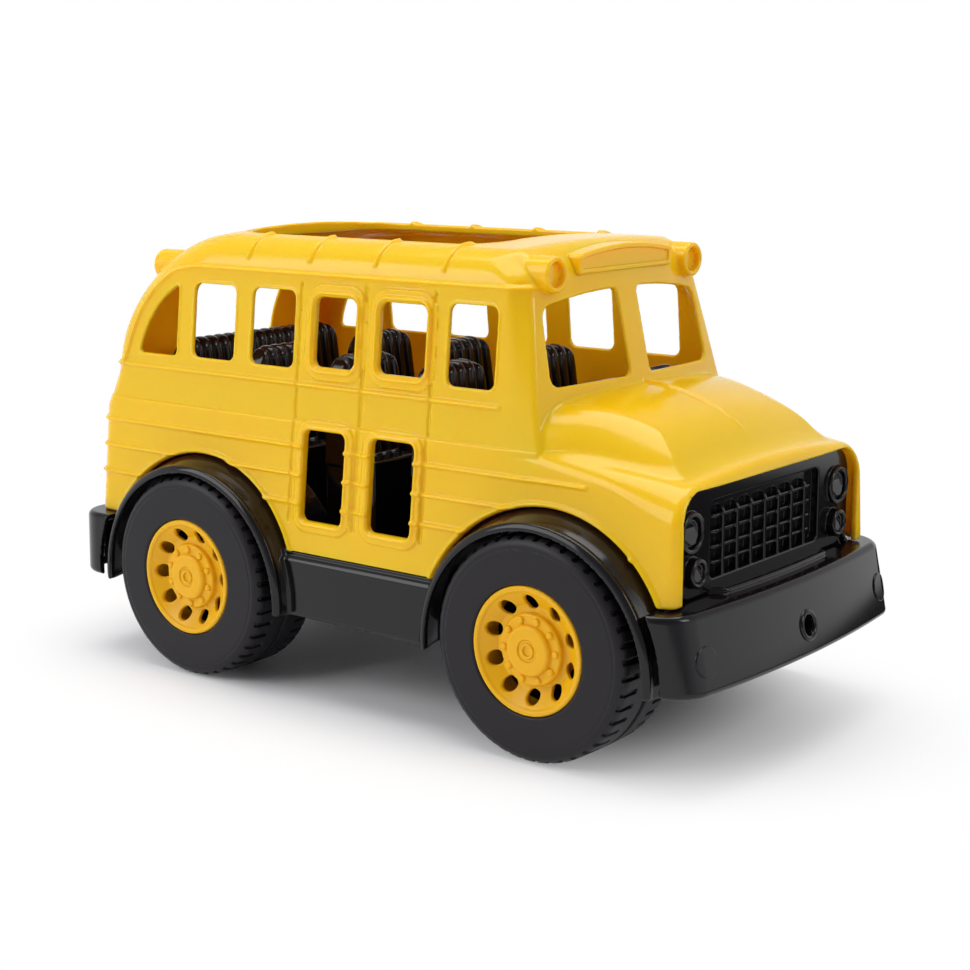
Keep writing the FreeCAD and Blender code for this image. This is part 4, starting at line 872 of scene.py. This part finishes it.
@dataclass
class Chassis:
    """The black pan with fenders, wheel wells, skirts, rails and bearings."""

    wheel_x: float = 104.2
    arch_z: float = 44.0
    fender_radius: float = 64.8
    fender_fall: float = 5.0
    fender_wall: float = 3.0
    fender_half_width: float = 95.3
    tail_z: float = 39.5
    skirt_half_width: float = 88.0
    skirt_bottom: float = 38.3
    sill: float = 70.5
    pan_top: float = 67.0
    wall: float = 2.4
    rail_half_width: float = 50.0
    pan_half_length: float = 170.0
    skirt_bevel: float = 4.0
    skirt_wall: float = 3.2
    skirt_half_length: float = 48.0
    ledge_span: Pair = (78.0, 86.0)
    rail_heights: Pair = (44.0, 66.0)
    block_heights: Pair = (40.0, 66.0)
    block_sides: Pair = (38.0, 50.0)
    bearing_radius: float = 2.6
    slot_top: float = 52.5
    axle_height: float = 50.0

    def distance(self, x: Array, y: Array, z: Array) -> Array:
        """Give the distance to the chassis, the same at both ends and sides."""
        run, side = np.abs(x), np.abs(y)
        around = np.hypot(run - self.wheel_x, z - self.arch_z)
        reach = self.fender_radius - self.fender_fall * np.clip((side - 80.0) / 15.3, 0, 1)
        reach = reach + 0.7 * swell(side - 93.6, 2.0)
        fender = rounded_max(around - reach, slab(side, self.rail_half_width, self.fender_half_width), 1.6)
        flange = np.maximum(around - 68.0, slab(side, 75.5, 77.5))
        fender = np.minimum(fender, flange)
        bevel = self.skirt_half_width - self.skirt_bevel * step(z, 65.5, self.sill + 1)
        skirt = np.maximum(side - bevel, bevel - self.skirt_wall - side)
        skirt = rounded_max(skirt, slab(z, self.skirt_bottom, self.sill), 0.9)
        ledge = rectangle(side, z, self.ledge_span, (self.pan_top - self.wall, self.sill), 0.3)
        skirt = np.maximum(np.minimum(skirt, ledge), run - self.skirt_half_length)
        outside = rounded_min(skirt, fender, 1.5)
        room = np.maximum(around - reach + self.fender_wall, self.rail_half_width + 2.2 - side)
        outside = rounded_max(outside, -room, 0.8)
        outside = rounded_max(outside, self.tail_z - z, 1.2)
        whole = rounded_min(self.inner(run, side, z), outside, 0.5)
        post = common(slab(x, 155.0, 159.0), side - 50.0, slab(z, 64.6, 77.1))
        axle = np.hypot(run - self.wheel_x, z - self.axle_height)
        bore = np.maximum(axle - self.bearing_radius, 37.0 - side)
        return np.maximum(np.minimum(whole, post), -bore)

    def inner(self, run: Array, side: Array, z: Array) -> Array:
        """Give the distance to the pan with its rails, bearing blocks and screw bosses.

        Args:
            run: Distance from the middle along the length.
            side: Distance from the middle plane.
            z: Height.

        Returns:
            The distance.
        """
        plate = slab(z, self.pan_top - self.wall, self.pan_top)
        within, between = run - self.pan_half_length, side - self.rail_half_width
        upright, bearing = slab(z, *self.rail_heights), slab(z, *self.block_heights)
        near = np.abs(run - self.wheel_x)
        rail = slab(side, self.rail_half_width - self.wall, self.rail_half_width)
        cross = slab(run, self.pan_half_length - 3, self.pan_half_length)
        block = common(near - 9.0, slab(side, *self.block_sides), bearing)
        slot = np.maximum(near - self.bearing_radius, z - self.slot_top)
        return union(
            common(plate, between, within),
            common(plate, side - 85.0, run - 42.0),
            common(rail, upright, within),
            common(cross, upright, between),
            np.maximum(block, -slot),
            np.maximum(np.hypot(near - 11.0, side - 31.0) - 4.5, bearing),
        )

    def build(self) -> None:
        """Build the chassis and put it on the bus."""
        low, high = (-174.0, -97.0, 37.0), (174.0, 97.0, 114.0)
        piece = Moulding("chassis_moulded", BLACK, self.distance, low, high, (1.0, 1.0, 1.0), 1.1)
        piece.place(ROOT_BODY, ("chassis",))


@dataclass
class Bumper:
    """One bumper: a bowed, slanted and hollow bar that wraps the end of the bus."""

    end: End
    top: float = 75.0
    bottom: float = 41.0
    reach: float = 189.0
    slant: float = 7.3
    bow: float = 4.6
    half_width: float = 95.0
    corner: float = 16.0
    wall: float = 3.0
    back: float = 156.0
    disc_spot: Pair = (77.4, 55.3)
    tow_height: float = 54.6
    tow_radius: float = 4.4
    sleeve_radius: float = 6.3
    boss_spot: Pair = (42.0, 56.0)
    arch_spot: Pair = (104.2, 44.0)

    def plan(self, run: Array, side: Array, z: Array) -> Array:
        """Give the distance to the bumper's outline, seen from above."""
        rate = self.slant / (self.top - self.bottom)
        face = self.reach - rate * (z - self.bottom) - self.bow * np.square(side / 79.0)
        return rounded_max((run - face) * 0.98, side - self.half_width, self.corner)

    def distance(self, x: Array, y: Array, z: Array) -> Array:
        """Give the distance to the bumper."""
        run, side = x * self.end.value, np.abs(y)
        plan = self.plan(run, side, z)
        if self.end is End.FRONT:
            disc = np.hypot(side - self.disc_spot[0], z - self.disc_spot[1])
            plan = plan + 0.5 * (1 - step(disc, 5.0, 6.0))
        outer = rounded_max(plan, slab(z, self.bottom, self.top), 2.6)
        inner = np.maximum(self.plan(run, side, z) + self.wall, z - self.top + self.wall)
        whole = rounded_max(outer, -inner, 0.5)
        if self.end is End.FRONT:
            hole = np.hypot(y, z - self.tow_height)
            sleeve = np.maximum(hole - self.sleeve_radius, 177.0 - run)
            whole = np.minimum(whole, np.maximum(sleeve, outer))
            front = run - 172.8 + 2.0 * np.square(side / 47.0)
            block = rounded_max(np.maximum(front, 160.0 - run), side + 0.5 * (run - 165.0) - 47.0, 2.0)
            block = rounded_max(block, slab(z, 70.0, 77.6), 1.4)
            whole = rounded_min(whole, block, 0.8)
            whole = rounded_max(whole, self.tow_radius - hole, 0.5)
        boss = np.maximum(np.hypot(side - self.boss_spot[0], z - self.boss_spot[1]) - 5.0, 170.0 - run)
        whole = np.minimum(whole, np.maximum(boss, outer))
        around = np.hypot(run - self.arch_spot[0], z - self.arch_spot[1])
        whole = np.maximum(whole, np.where(side > 49, 65.2 - around, -1e3))
        whole = np.maximum(whole, -np.maximum(around - 68.3, slab(side, 70.0, 77.8)))
        whole = np.maximum(whole, -common(run - 159.4, side - 50.3, z - 120))
        whole = np.maximum(whole, -common(run - 170.0, side - 50.0, z - 67.0))
        return np.maximum(whole, self.back - run)

    def disc(self, x: Array, y: Array, z: Array) -> Array:
        """Give the distance to the flat disc at each end of the front bumper."""
        around = np.hypot(np.abs(y) - self.disc_spot[0], z - self.disc_spot[1])
        plan = self.plan(x, np.abs(y), z)
        return rounded_max(around - 6.5, np.maximum(plan - 0.7, -1.5 - plan), 0.45)

    def tow_ring(self, x: Array, y: Array, z: Array) -> Array:
        """Give the distance to the raised ring around the tow hole."""
        plan = self.plan(x, np.abs(y), z)
        return np.hypot(np.hypot(y, z - self.tow_height) - 5.7, plan + 0.1) - 1.25

    def build(self) -> None:
        """Build the bumper and put it on the bus."""
        name = f"{self.end.name.lower()}_bumper"
        low, high = (150.0, 191.0) if self.end is End.FRONT else (-191.0, -150.0)
        piece = Moulding(name + "_moulded", BLACK, self.distance, (low, -97.0, 39.5), (high, 97.0, 81.0),
                         (0.8, 0.8, 0.8))
        piece.place(ROOT_BODY, (name,))
        if self.end is End.REAR:
            return
        fine = (0.3, 0.3, 0.3)
        ring = Moulding("tow_ring", BLACK, self.tow_ring, (178.0, -8.0, 46.0), (190.0, 8.0, 63.0),
                        fine, 1.0)
        ring.place(ROOT_BODY)
        for side in Side:
            low, high = sorted(side.value * (self.disc_spot[0] + room) for room in (-8, 8))
            name = f"bumper_disc_{side.name.lower()}"
            disc = Moulding(name, BLACK, self.disc, (171.0, low, 47.0), (190.0, high, 64.0), fine, 1.0)
            disc.place(ROOT_BODY)


@dataclass
class Grille:
    """The black grille panel: a recess with crossing fins, and four ringed lights."""

    back: float = 159.0
    face: float = 164.0
    half_width: float = 76.2
    span: Pair = (75.5, 121.6)
    corner: float = 13.2
    recess_half_width: float = 47.6
    recess_span: Pair = (81.2, 114.9)
    recess_floor: float = 159.8
    fin_pitch: float = 11.9
    fins: int = 7
    fin_top: float = 111.2
    fin_face: float = 163.7
    rows: tuple[float, ...] = (107.1, 100.4, 93.7, 87.0)
    row_half_width: float = 43.2
    lights: tuple[tuple[float, ...], ...] = ((64.2, 104.2, 9.0, 166.4), (61.8, 86.9, 6.5, 168.4))

    def light(self, x: Array, around: Array, height: Array, radius: float, front: float) -> Array:
        """Give the distance to one light: a barrel, two rings and a slanted flat lens.

        Args:
            x: Length coordinate.
            around: Distance from the light's own axis.
            height: Height above that axis.
            radius: Radius of the barrel.
            front: Where the outer ring ends.

        Returns:
            The distance.
        """
        barrel = rounded_max(around - radius, slab(x, self.back, front - 0.8), 0.6)
        cup = np.maximum(around - radius + 1.9, front - 2.6 - x)
        outer = np.hypot(around - radius + 1.2, x - front + 1.2) - 1.2
        inner = np.hypot(around - radius * 0.6, x - front + 2.3) - 0.8
        lens = np.maximum(around - radius * 0.56, x - front + 2.0 + 0.28 * height)
        form = np.minimum(rounded_max(barrel, -cup, 0.4), outer)
        return np.minimum(form, np.minimum(inner, np.maximum(lens, self.back - x)))

    def distance(self, x: Array, y: Array, z: Array) -> Array:
        """Give the distance to the panel."""
        side = np.abs(y)
        outline = rectangle(y, z, (-self.half_width, self.half_width), self.span, self.corner)
        panel = rounded_max(outline, slab(x, self.back, self.face), 0.8)
        recess = rectangle(y, z, (-self.recess_half_width, self.recess_half_width), self.recess_span, 3.5)
        panel = rounded_max(panel, -np.maximum(recess, self.recess_floor - x), 0.6)
        reach = self.fins // 2
        row = y - self.fin_pitch * np.clip(np.round(y / self.fin_pitch), -reach, reach)
        profile = rounded_max(x - self.fin_face, z - self.fin_top, 3.6)
        fins = rounded_max(np.maximum(profile, self.recess_span[0] - 0.5 - z), np.abs(row) - 1.0, 0.8)
        end = rounded_max(x - self.fin_face + 1.1, side - self.row_half_width, 2.6)
        for height in self.rows:
            fins = rounded_min(fins, rounded_max(end, np.abs(z - height) - 0.95, 0.7), 0.3)
        panel = np.minimum(panel, np.maximum(fins, self.back - x))
        for spot_y, spot_z, radius, front in self.lights:
            around = np.hypot(side - spot_y, z - spot_z)
            panel = rounded_min(panel, self.light(x, around, z - spot_z, radius, front), 0.4)
        return panel

    def build(self) -> None:
        """Build the grille and put it on the bus."""
        low, high = (158.0, -77.5, 74.5), (169.5, 77.5, 123.0)
        piece = Moulding("grille_moulded", BLACK, self.distance, low, high, (0.5, 0.55, 0.55), 1.2)
        piece.place(ROOT_BODY, ("grille_panel",))


# The seats

@dataclass
class SeatTray:
    """The black tray: six ribbed seats, a bench, the floor and the dashboard."""

    top: float = 160.9
    base_top: float = 112.0
    floor: float = 67.0
    wall: float = 2.4
    lean: float = 7.0
    back_wall: float = 9.0
    base_depth: float = 32.0
    rib_pitch: float = 6.9
    shoulder: float = 12.0
    seat_half_width: float = 20.75
    seat_y: float = 36.75
    fronts: tuple[float, ...] = (20.0, -34.0, -88.0)
    bench_front: float = -142.0
    bench_half_width: float = 57.5
    bench_base: Pair = (-48.0, 48.0)

    def back(self, x: Array, y: Array, z: Array, half_width: float) -> Array:
        """Give the distance to one seat, its front near the top at x 0 and its middle at y 0.

        Args:
            x: Length coordinate from the seat's own front.
            y: Width coordinate from the seat's middle.
            z: Height.
            half_width: Half the width of the back.

        Returns:
            The distance.
        """
        count = round(2 * half_width / self.rib_pitch)
        pitch = 2 * half_width / count
        share = np.mod(y / pitch + 0.5 * (count % 2), 1.0) - 0.5
        rib = 2.3 * (1 - np.sqrt(np.maximum(1 - np.square(share * 1.9), 0.02)))
        depth = (self.top - z) / (self.top - self.base_top)
        front = (x - self.lean * depth) * 0.99 + rib
        top = z - self.top + rib
        rear = -self.back_wall - 0.5 * self.lean * depth - x
        form = rounded_max(rounded_max(front, top, 5.5), rear, 2.5)
        outline = rounded_max(np.abs(y) - half_width, z - self.top, self.shoulder)
        form = rounded_max(form, outline, 1.6)
        return np.maximum(form, self.base_top - 4 - z)

    def base(self, x: Array, y: Array, z: Array, span: Pair) -> Array:
        """Give the distance to the base below a back, between two width coordinates."""
        low_x = -self.back_wall - 0.5 * self.lean
        outline = rectangle(x, y, (low_x, low_x + self.base_depth), span, 2.0)
        return rounded_max(outline, slab(z, self.floor, self.base_top), 1.5)

    def seat(self, x: Array, y: Array, z: Array) -> Array:
        """Give the distance to one seat with its hollow base."""
        half = self.seat_half_width - 0.6
        base = self.base(x, y, z, (-half, half - 8.0))
        return rounded_min(self.back(x, y, z, self.seat_half_width), base, 1.5)

    def bench(self, x: Array, y: Array, z: Array) -> Array:
        """Give the distance to the rear bench."""
        base = self.base(x, y, z, self.bench_base)
        return rounded_min(self.back(x, y, z, self.bench_half_width), base, 1.5)

    def floor_and_dash(self, x: Array, y: Array, z: Array) -> Array:
        """Give the distance to the floor and the dashboard."""
        floor = rounded_max(rectangle(x, y, (-155.0, 96.0), (-48.5, 48.5), 4.0),
                            slab(z, self.floor, self.floor + self.wall), 0.6)
        dash = rounded_max(rectangle(x, z, (84.5, 91.0), (129.5, 155.5), 1.6), np.abs(y) - 59.0, 3.0)
        leg = common(slab(x, 84.5, 86.9), np.abs(y) - 44.0, slab(z, self.floor, 132.0))
        return union(floor, dash, leg)

    def build(self) -> None:
        """Build the seats, the bench, the floor and the dashboard."""
        low, high = (-157.0, -61.0, 66.0), (98.0, 61.0, 157.0)
        floor = Moulding("tray_floor", BLACK, self.floor_and_dash, low, high, (1.6, 1.6, 1.2))
        floor.place(ROOT_BODY, ("seat_tray",))
        pitch = (1.0, 0.7, 1.0)
        seat = Moulding("seat", BLACK, self.seat, (-14.5, -22.0, 66.0), (26.0, 22.0, 163.0), pitch)
        mesh = seat.mesh()
        for row, front in zip(("front", "middle", "back"), self.fronts):
            for side in Side:
                spot = (front, side.value * self.seat_y, 0)
                seat.place(ROOT_BODY, (), mesh, spot, name=f"seat_{row}_{side.name.lower()}")
        bench = Moulding("bench", BLACK, self.bench, (-14.5, -59.0, 66.0), (26.0, 59.0, 163.0), pitch)
        bench.place(ROOT_BODY, (), spot=(self.bench_front, 0, 0))


@dataclass
class SteeringWheel:
    """The steering wheel, nearly flat, on a column that ends at the dashboard."""

    centre: Triple = (70.5, 39.0, 148.6)
    lean: float = math.radians(25)
    radius: float = 14.5
    thickness: float = 1.7
    column_radius: float = 2.2
    column_length: float = 31.0

    def distance(self, x: Array, y: Array, z: Array) -> Array:
        """Give the distance to the wheel and its column."""
        x, y, z = x - self.centre[0], y - self.centre[1], z - self.centre[2]
        flat = x * math.cos(self.lean) + z * math.sin(self.lean)
        up = -x * math.sin(self.lean) + z * math.cos(self.lean)
        around = np.hypot(flat, y)
        ring = np.hypot(around - self.radius, up) - self.thickness
        turn = np.arctan2(flat, y)
        third = np.mod(turn, 2 * math.pi / 3) - math.pi / 3
        across = around * np.abs(np.sin(third + math.pi / 3 * np.sign(-third)))
        spoke = np.maximum(np.hypot(np.minimum(across, 30), up) - 1.3, around - self.radius)
        column = np.maximum(around - self.column_radius, slab(up, -self.column_length, 1.0))
        hub = rounded_max(around - 4.0, slab(up, -2.0, 2.0), 1.5)
        return rounded_min(rounded_min(ring, spoke, 0.8), np.minimum(column, hub), 0.8)

    def build(self) -> None:
        """Build the steering wheel."""
        low, high = (52.0, 20.0, 118.0), (88.0, 58.0, 158.0)
        piece = Moulding("steering_wheel_moulded", BLACK, self.distance, low, high, (0.7, 0.7, 0.7))
        piece.place(ROOT_BODY, ("steering_wheel",))


# The wheels

@dataclass
class Wheels:
    """The four wheels: a treaded tyre and a dished rim each, drawn from the inner face outwards."""

    wheel_x: float = 104.2
    radius: float = 50.0
    width: float = 41.3
    half_track: float = 96.6
    sidewall_radius: float = 44.6
    bore: float = 28.6
    notches: int = 44
    notch_depth: float = 1.3
    channel_half_width: float = 1.4
    hand_holes: int = 10

    def tyre(self, x: Array, y: Array, z: Array) -> Array:
        """Give the distance to a tyre about its own axle, its inner face at y 0."""
        around = np.hypot(x, z)
        middle = y - self.width / 2
        across = np.abs(middle)
        edge = self.width / 2
        pitch = 2 * math.pi / self.notches
        share = np.mod(np.arctan2(z, x) / pitch + np.where(middle > 0, 0.0, 0.5), 1.0) - 0.5
        gap = np.abs(share) * pitch * self.radius
        form = rounded_max(around - self.radius + 0.0009 * np.square(middle), across - edge, 5.2)
        form = form + 0.25 * swell(around - self.sidewall_radius, 0.9)
        notch = rounded_max(gap - 1.1, slab(across, edge - 12.0, edge - 1.9), 0.8)
        channel = across - self.channel_half_width
        cut = np.maximum(np.minimum(notch, channel), -(form + self.notch_depth))
        form = rounded_max(form, -cut, 0.4)
        return rounded_max(form, self.bore - around, 1.4)

    def rim(self, x: Array, y: Array, z: Array, phase: float) -> Array:
        """Give the distance to a rim about its own axle, its outer lip at y equal to the width.

        Args:
            x: Length coordinate.
            y: Width coordinate.
            z: Height.
            phase: Where the first hand hole lies, as a share of the space between two.

        Returns:
            The distance.
        """
        around = np.hypot(x, z)
        deep = self.width - y
        cone = 6.0 - 5.3 * np.clip((around - 19.2) / 7.0, 0, 1)
        disc = np.maximum(np.maximum(cone - deep, deep - cone - 2.4) * 0.8, around - 27.4)
        lip = rounded_max(slab(around, 26.2, 28.5), slab(deep, 0.1, 16.0), 0.9)
        whole = rounded_min(disc, lip, 1.0)
        rest = rounded_max(around - 16.0, slab(deep, 3.0, 18.0), 1.4)
        cap = rounded_max(around - 11.0 - 0.12 * deep, slab(deep, 0.5, 21.0), 1.6)
        whole = rounded_min(whole, rounded_min(cap, rest, 0.6), 0.9)
        pitch = 2 * math.pi / self.hand_holes
        turn = np.arctan2(z, x) / pitch - phase
        near = (np.mod(turn, 1.0) - 0.5) * pitch
        hole = np.hypot(around * np.sin(near), around * np.cos(near) - 21.0) - 3.3
        half = (np.mod(turn + 0.5, 1.0) - 0.5) * pitch
        nut = np.hypot(around * np.sin(half), around * np.cos(half) - 13.5) - 1.6
        nut = rounded_max(nut, slab(deep, 1.7, 11.0), 0.9)
        whole = rounded_min(whole, nut, 0.4)
        whole = rounded_max(whole, -np.maximum(hole, deep - 17.0), 0.6)
        ring = np.maximum(np.abs(around - 4.2) - 0.7, deep - 1.2)
        dimple = np.maximum(around - 2.2, deep - 1.5)
        whole = rounded_max(whole, -np.minimum(ring, dimple), 0.4)
        return np.maximum(whole, 2.5 - np.maximum(around, (y - 33.0) * 10))

    def build(self) -> None:
        """Build one tyre and a rim for each end, and put copies on the four corners.

        The holes of the rear rims stand half a space further round than those of the front ones.
        """
        reach = self.radius + 1.2
        tyre = Moulding("tyre", TYRE, self.tyre, (-reach, -1.0, -reach), (reach, self.width + 1, reach),
                        (0.75, 0.75, 0.75))
        tyre_mesh = tyre.mesh()
        for end, phase in ((End.FRONT, -0.055), (End.REAR, 0.445)):
            rim = Moulding("rim", RIM, partial(self.rim, phase=phase), (-29.5, 18.5, -29.5),
                           (29.5, self.width + 1, 29.5), (0.5, 0.5, 0.5))
            rim_mesh = rim.mesh()
            for side in Side:
                where = f"{end.name.lower()}_{side.name.lower()}"
                spot = (end.value * self.wheel_x, side.value * (self.half_track - self.width), self.radius)
                turn = 0.0 if side is Side.LEFT else 180.0
                body = f"{end.name.lower()}_wheelset"
                tyre.place(body, (f"tyre_{where}",), tyre_mesh, spot, turn, f"tyre_{where}_moulded")
                rim.place(body, (f"rim_{where}",), rim_mesh, spot, turn, f"rim_{where}_moulded")


@dataclass
class FramePieces:
    """The pieces of the frame that show as they are, with their finishes."""

    nodes: dict[str, bpy.types.Object]

    def dress(self) -> None:
        """Give each of them its finish."""
        steel = Steel().material()
        black = BLACK.material()
        for name, node in self.nodes.items():
            if node.hide_render:
                continue
            finish = steel if "axle" in name and "keeper" not in name or name == "screws" else black
            node.data.materials.clear()
            node.data.materials.append(finish)
            log.info("%s keeps its own mesh", name)


# The studio

class NodeSheet:
    """The nodes of one material or world, with short ways to add and join them."""

    def __init__(self, tree: bpy.types.NodeTree) -> None:
        """Start with an empty sheet."""
        self.tree = tree
        tree.nodes.clear()

    def add(self, kind: str, **options: str) -> bpy.types.Node:
        """Add a node of a kind and set its options."""
        node = self.tree.nodes.new("ShaderNode" + kind)
        for name, value in options.items():
            setattr(node, name, value)
        return node

    def join(self, source: bpy.types.NodeSocket, target: bpy.types.NodeSocket) -> None:
        """Join an output to an input."""
        self.tree.links.new(source, target)

    def maths(self, operation: str, *values: bpy.types.NodeSocket) -> bpy.types.NodeSocket:
        """Give the result of an operation on some outputs."""
        node = self.add("Math", operation=operation)
        for number, value in enumerate(values):
            self.join(value, node.inputs[number])
        return node.outputs[0]

    def along(self, place: bpy.types.NodeSocket, direction: Triple) -> bpy.types.NodeSocket:
        """Give how far a place lies along a direction."""
        node = self.add("VectorMath", operation="DOT_PRODUCT")
        node.inputs[1].default_value = direction
        self.join(place, node.inputs[0])
        return node.outputs["Value"]

    def ramp(self, value: bpy.types.NodeSocket, span: Pair, result: Pair = (0.0, 1.0),
             smooth: bool = True) -> bpy.types.NodeSocket:
        """Map a span of values onto another.

        Args:
            value: The output that is mapped.
            span: Its lowest and highest value.
            result: What these two become.
            smooth: Whether the climb between them is smooth.

        Returns:
            The mapped value.
        """
        node = self.add("MapRange", interpolation_type="SMOOTHSTEP" if smooth else "LINEAR")
        for name, (low, high) in (("From", span), ("To", result)):
            node.inputs[name + " Min"].default_value = low
            node.inputs[name + " Max"].default_value = high
        self.join(value, node.inputs["Value"])
        return node.outputs["Result"]

    def close(self, share: bpy.types.NodeSocket, first: bpy.types.Node, second: bpy.types.Node,
              kind: str) -> None:
        """Mix two shaders and lead them to the output.

        Args:
            share: How much of the second there is.
            first: The first shader.
            second: The second shader.
            kind: Kind of the output node.
        """
        mix, out = self.add("MixShader"), self.add(kind)
        self.join(share, mix.inputs["Fac"])
        self.join(first.outputs[0], mix.inputs[1])
        self.join(second.outputs[0], mix.inputs[2])
        self.join(mix.outputs[0], out.inputs["Surface"])


@dataclass
class Studio:
    """The white sweep, the soft lamps and the camera."""

    camera_spot: Triple = (0.5535, -0.7006, 0.2738)
    camera_turn: Triple = (78.604, 0.0, 37.948)
    lens: float = 68.57
    floor_half_size: float = 6.0
    shade_size: Pair = (0.17, 0.09)
    white_span: Pair = (0.75, 2.1)
    # The next three place a band of painted dark across the floor, seen as a painted dark reflection in the
    # glossy black parts and never by the camera.
    painted_band_side: Triple = (0.5, 0.86, 0.0)
    painted_band_start: Pair = (0.24, 0.36)
    painted_band_end: Pair = (0.66, 0.8)
    fill: Pair = (1.0, 0.5)
    dim_side: Triple = (0.6, -0.75, 0.28)
    dim_span: Pair = (0.45, 0.97)
    dim_share: float = 0.35
    shade_shift: Pair = (0.03, 0.01)
    # The first tone is the painted dark of that band, the second the floor's own white.
    painted_band_and_floor_tones: tuple[tuple[float, ...], ...] = ((0.03, 0.03, 0.03, 1), (0.93, 0.93, 0.94, 1))

    def floor(self) -> None:
        """Lay the white floor, which keeps the shadow and is bright to the camera. A band across it, off to
        the front and left, is painted dark: the camera sees white there, but the glossy black parts show it
        as a painted dark reflection.
        """
        mesh = bpy.data.meshes.new("floor")
        far = self.floor_half_size
        corners = [(-far, -far, 0), (far, -far, 0), (far, far, 0), (-far, far, 0)]
        mesh.from_pydata(corners, [], [(0, 1, 2, 3)])
        floor = bpy.data.objects.new("floor", mesh)
        bpy.context.scene.collection.objects.link(floor)
        made = bpy.data.materials.new("white_sweep")
        made.use_nodes = True
        sheet = NodeSheet(made.node_tree)
        place = sheet.add("TexCoord").outputs["Object"]
        seen_by = sheet.add("LightPath").outputs
        # Between the two spans along one side the floor is painted dark: camera rays see white there, but
        # reflections and bounced light see the painted dark.
        beyond = sheet.along(place, self.painted_band_side)
        before, after = sheet.ramp(beyond, self.painted_band_start, (1.0, 0.0)), sheet.ramp(beyond, self.painted_band_end)
        outside_painted_band = sheet.maths("MAXIMUM", before, after)
        tone = sheet.add("Mix", data_type="RGBA")
        tone.inputs["A"].default_value, tone.inputs["B"].default_value = self.painted_band_and_floor_tones
        sheet.join(outside_painted_band, tone.inputs["Factor"])
        paper, glow = sheet.add("BsdfDiffuse"), sheet.add("Emission")
        sheet.join(tone.outputs["Result"], paper.inputs["Color"])
        glow.inputs["Strength"].default_value = 1.0
        near = sheet.add("VectorMath", operation="MULTIPLY_ADD")
        far_off = sheet.add("VectorMath", operation="LENGTH")
        (wide, deep), (shift_x, shift_y) = self.shade_size, self.shade_shift
        near.inputs[1].default_value = (1 / wide, 1 / deep, 0)
        near.inputs[2].default_value = (shift_x / wide, shift_y / deep, 0)
        sheet.join(place, near.inputs[0])
        sheet.join(near.outputs["Vector"], far_off.inputs[0])
        share = sheet.ramp(far_off.outputs["Value"], self.white_span)
        kept = sheet.maths("MULTIPLY", seen_by["Is Glossy Ray"], outside_painted_band)
        both = sheet.maths("MAXIMUM", seen_by["Is Camera Ray"], kept)
        sheet.close(sheet.maths("MULTIPLY", both, share), paper, glow, "OutputMaterial")
        mesh.materials.append(made)

    def surroundings(self) -> None:
        """Make the world white to the camera and a soft fill for the bus."""
        world = bpy.data.worlds.new("white_room")
        bpy.context.scene.world = world
        world.use_nodes = True
        sheet = NodeSheet(world.node_tree)
        place, parts = sheet.add("TexCoord").outputs["Generated"], sheet.add("SeparateXYZ")
        sheet.join(place, parts.inputs[0])
        fade = sheet.ramp(parts.outputs["Z"], (0.0, 0.6), self.fill, smooth=False)
        dim = sheet.ramp(sheet.along(place, self.dim_side), self.dim_span, (1.0, self.dim_share))
        seen, fill = sheet.add("Background"), sheet.add("Background")
        seen.inputs["Color"].default_value = (1, 1, 1, 1)
        fill.inputs["Color"].default_value = (0.97, 0.97, 1.0, 1)
        sheet.join(sheet.maths("MULTIPLY", fade, dim), fill.inputs["Strength"])
        sheet.close(sheet.add("LightPath").outputs["Is Camera Ray"], fill, seen, "OutputWorld")

    def lamp(self, name: str, spot: Triple, size: Pair, power: float) -> None:
        """Hang one soft box that faces the bus.

        Args:
            name: Name of the lamp.
            spot: Where it hangs, in metres.
            size: Its width and height, in metres.
            power: Its power in watts.
        """
        data = bpy.data.lights.new(name, "AREA")
        data.shape = "RECTANGLE"
        data.size, data.size_y = size
        data.energy = power
        lamp = bpy.data.objects.new(name, data)
        bpy.context.scene.collection.objects.link(lamp)
        lamp.location = spot
        lamp.rotation_euler = (Vector((0, 0, 0.1)) - Vector(spot)).to_track_quat("-Z", "Y").to_euler()

    def camera(self) -> None:
        """Set up the camera at the photograph's place."""
        data = bpy.data.cameras.new("camera")
        data.lens = self.lens
        data.sensor_width = 36.0
        camera = bpy.data.objects.new("camera", data)
        bpy.context.scene.collection.objects.link(camera)
        camera.location = self.camera_spot
        camera.rotation_euler = tuple(math.radians(angle) for angle in self.camera_turn)
        bpy.context.scene.camera = camera

    def build(self) -> None:
        """Build the studio."""
        bpy.context.scene.view_settings.view_transform = "Standard"
        self.floor()
        self.surroundings()
        self.lamp("overhead_box", (-0.1, 0.1, 1.3), (1.2, 0.8), 9.4)
        self.lamp("left_box", (-0.7, -1.1, 0.9), (1.1, 0.8), 8.4)
        self.lamp("right_box", (1.3, 0.1, 0.9), (0.5, 0.6), 4)
        self.camera()


def main() -> None:
    """Build the bus on its frame, then the studio."""
    logging.basicConfig(level=logging.INFO, format="%(name)s: %(message)s")
    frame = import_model()
    rear_bumper = Bumper(End.REAR, top=73.0, slant=0.8, bow=0.8, reach=188.8)
    parts = (BodyShell(), Chassis(), Bumper(End.FRONT), rear_bumper, Grille(), SeatTray(),
             SteeringWheel(), Wheels())
    for part in parts:
        part.build()
        log.info("built %s", type(part).__name__)
    FramePieces(frame["nodes"]).dress()
    Studio().build()


if __name__ == "__main__":
    main()
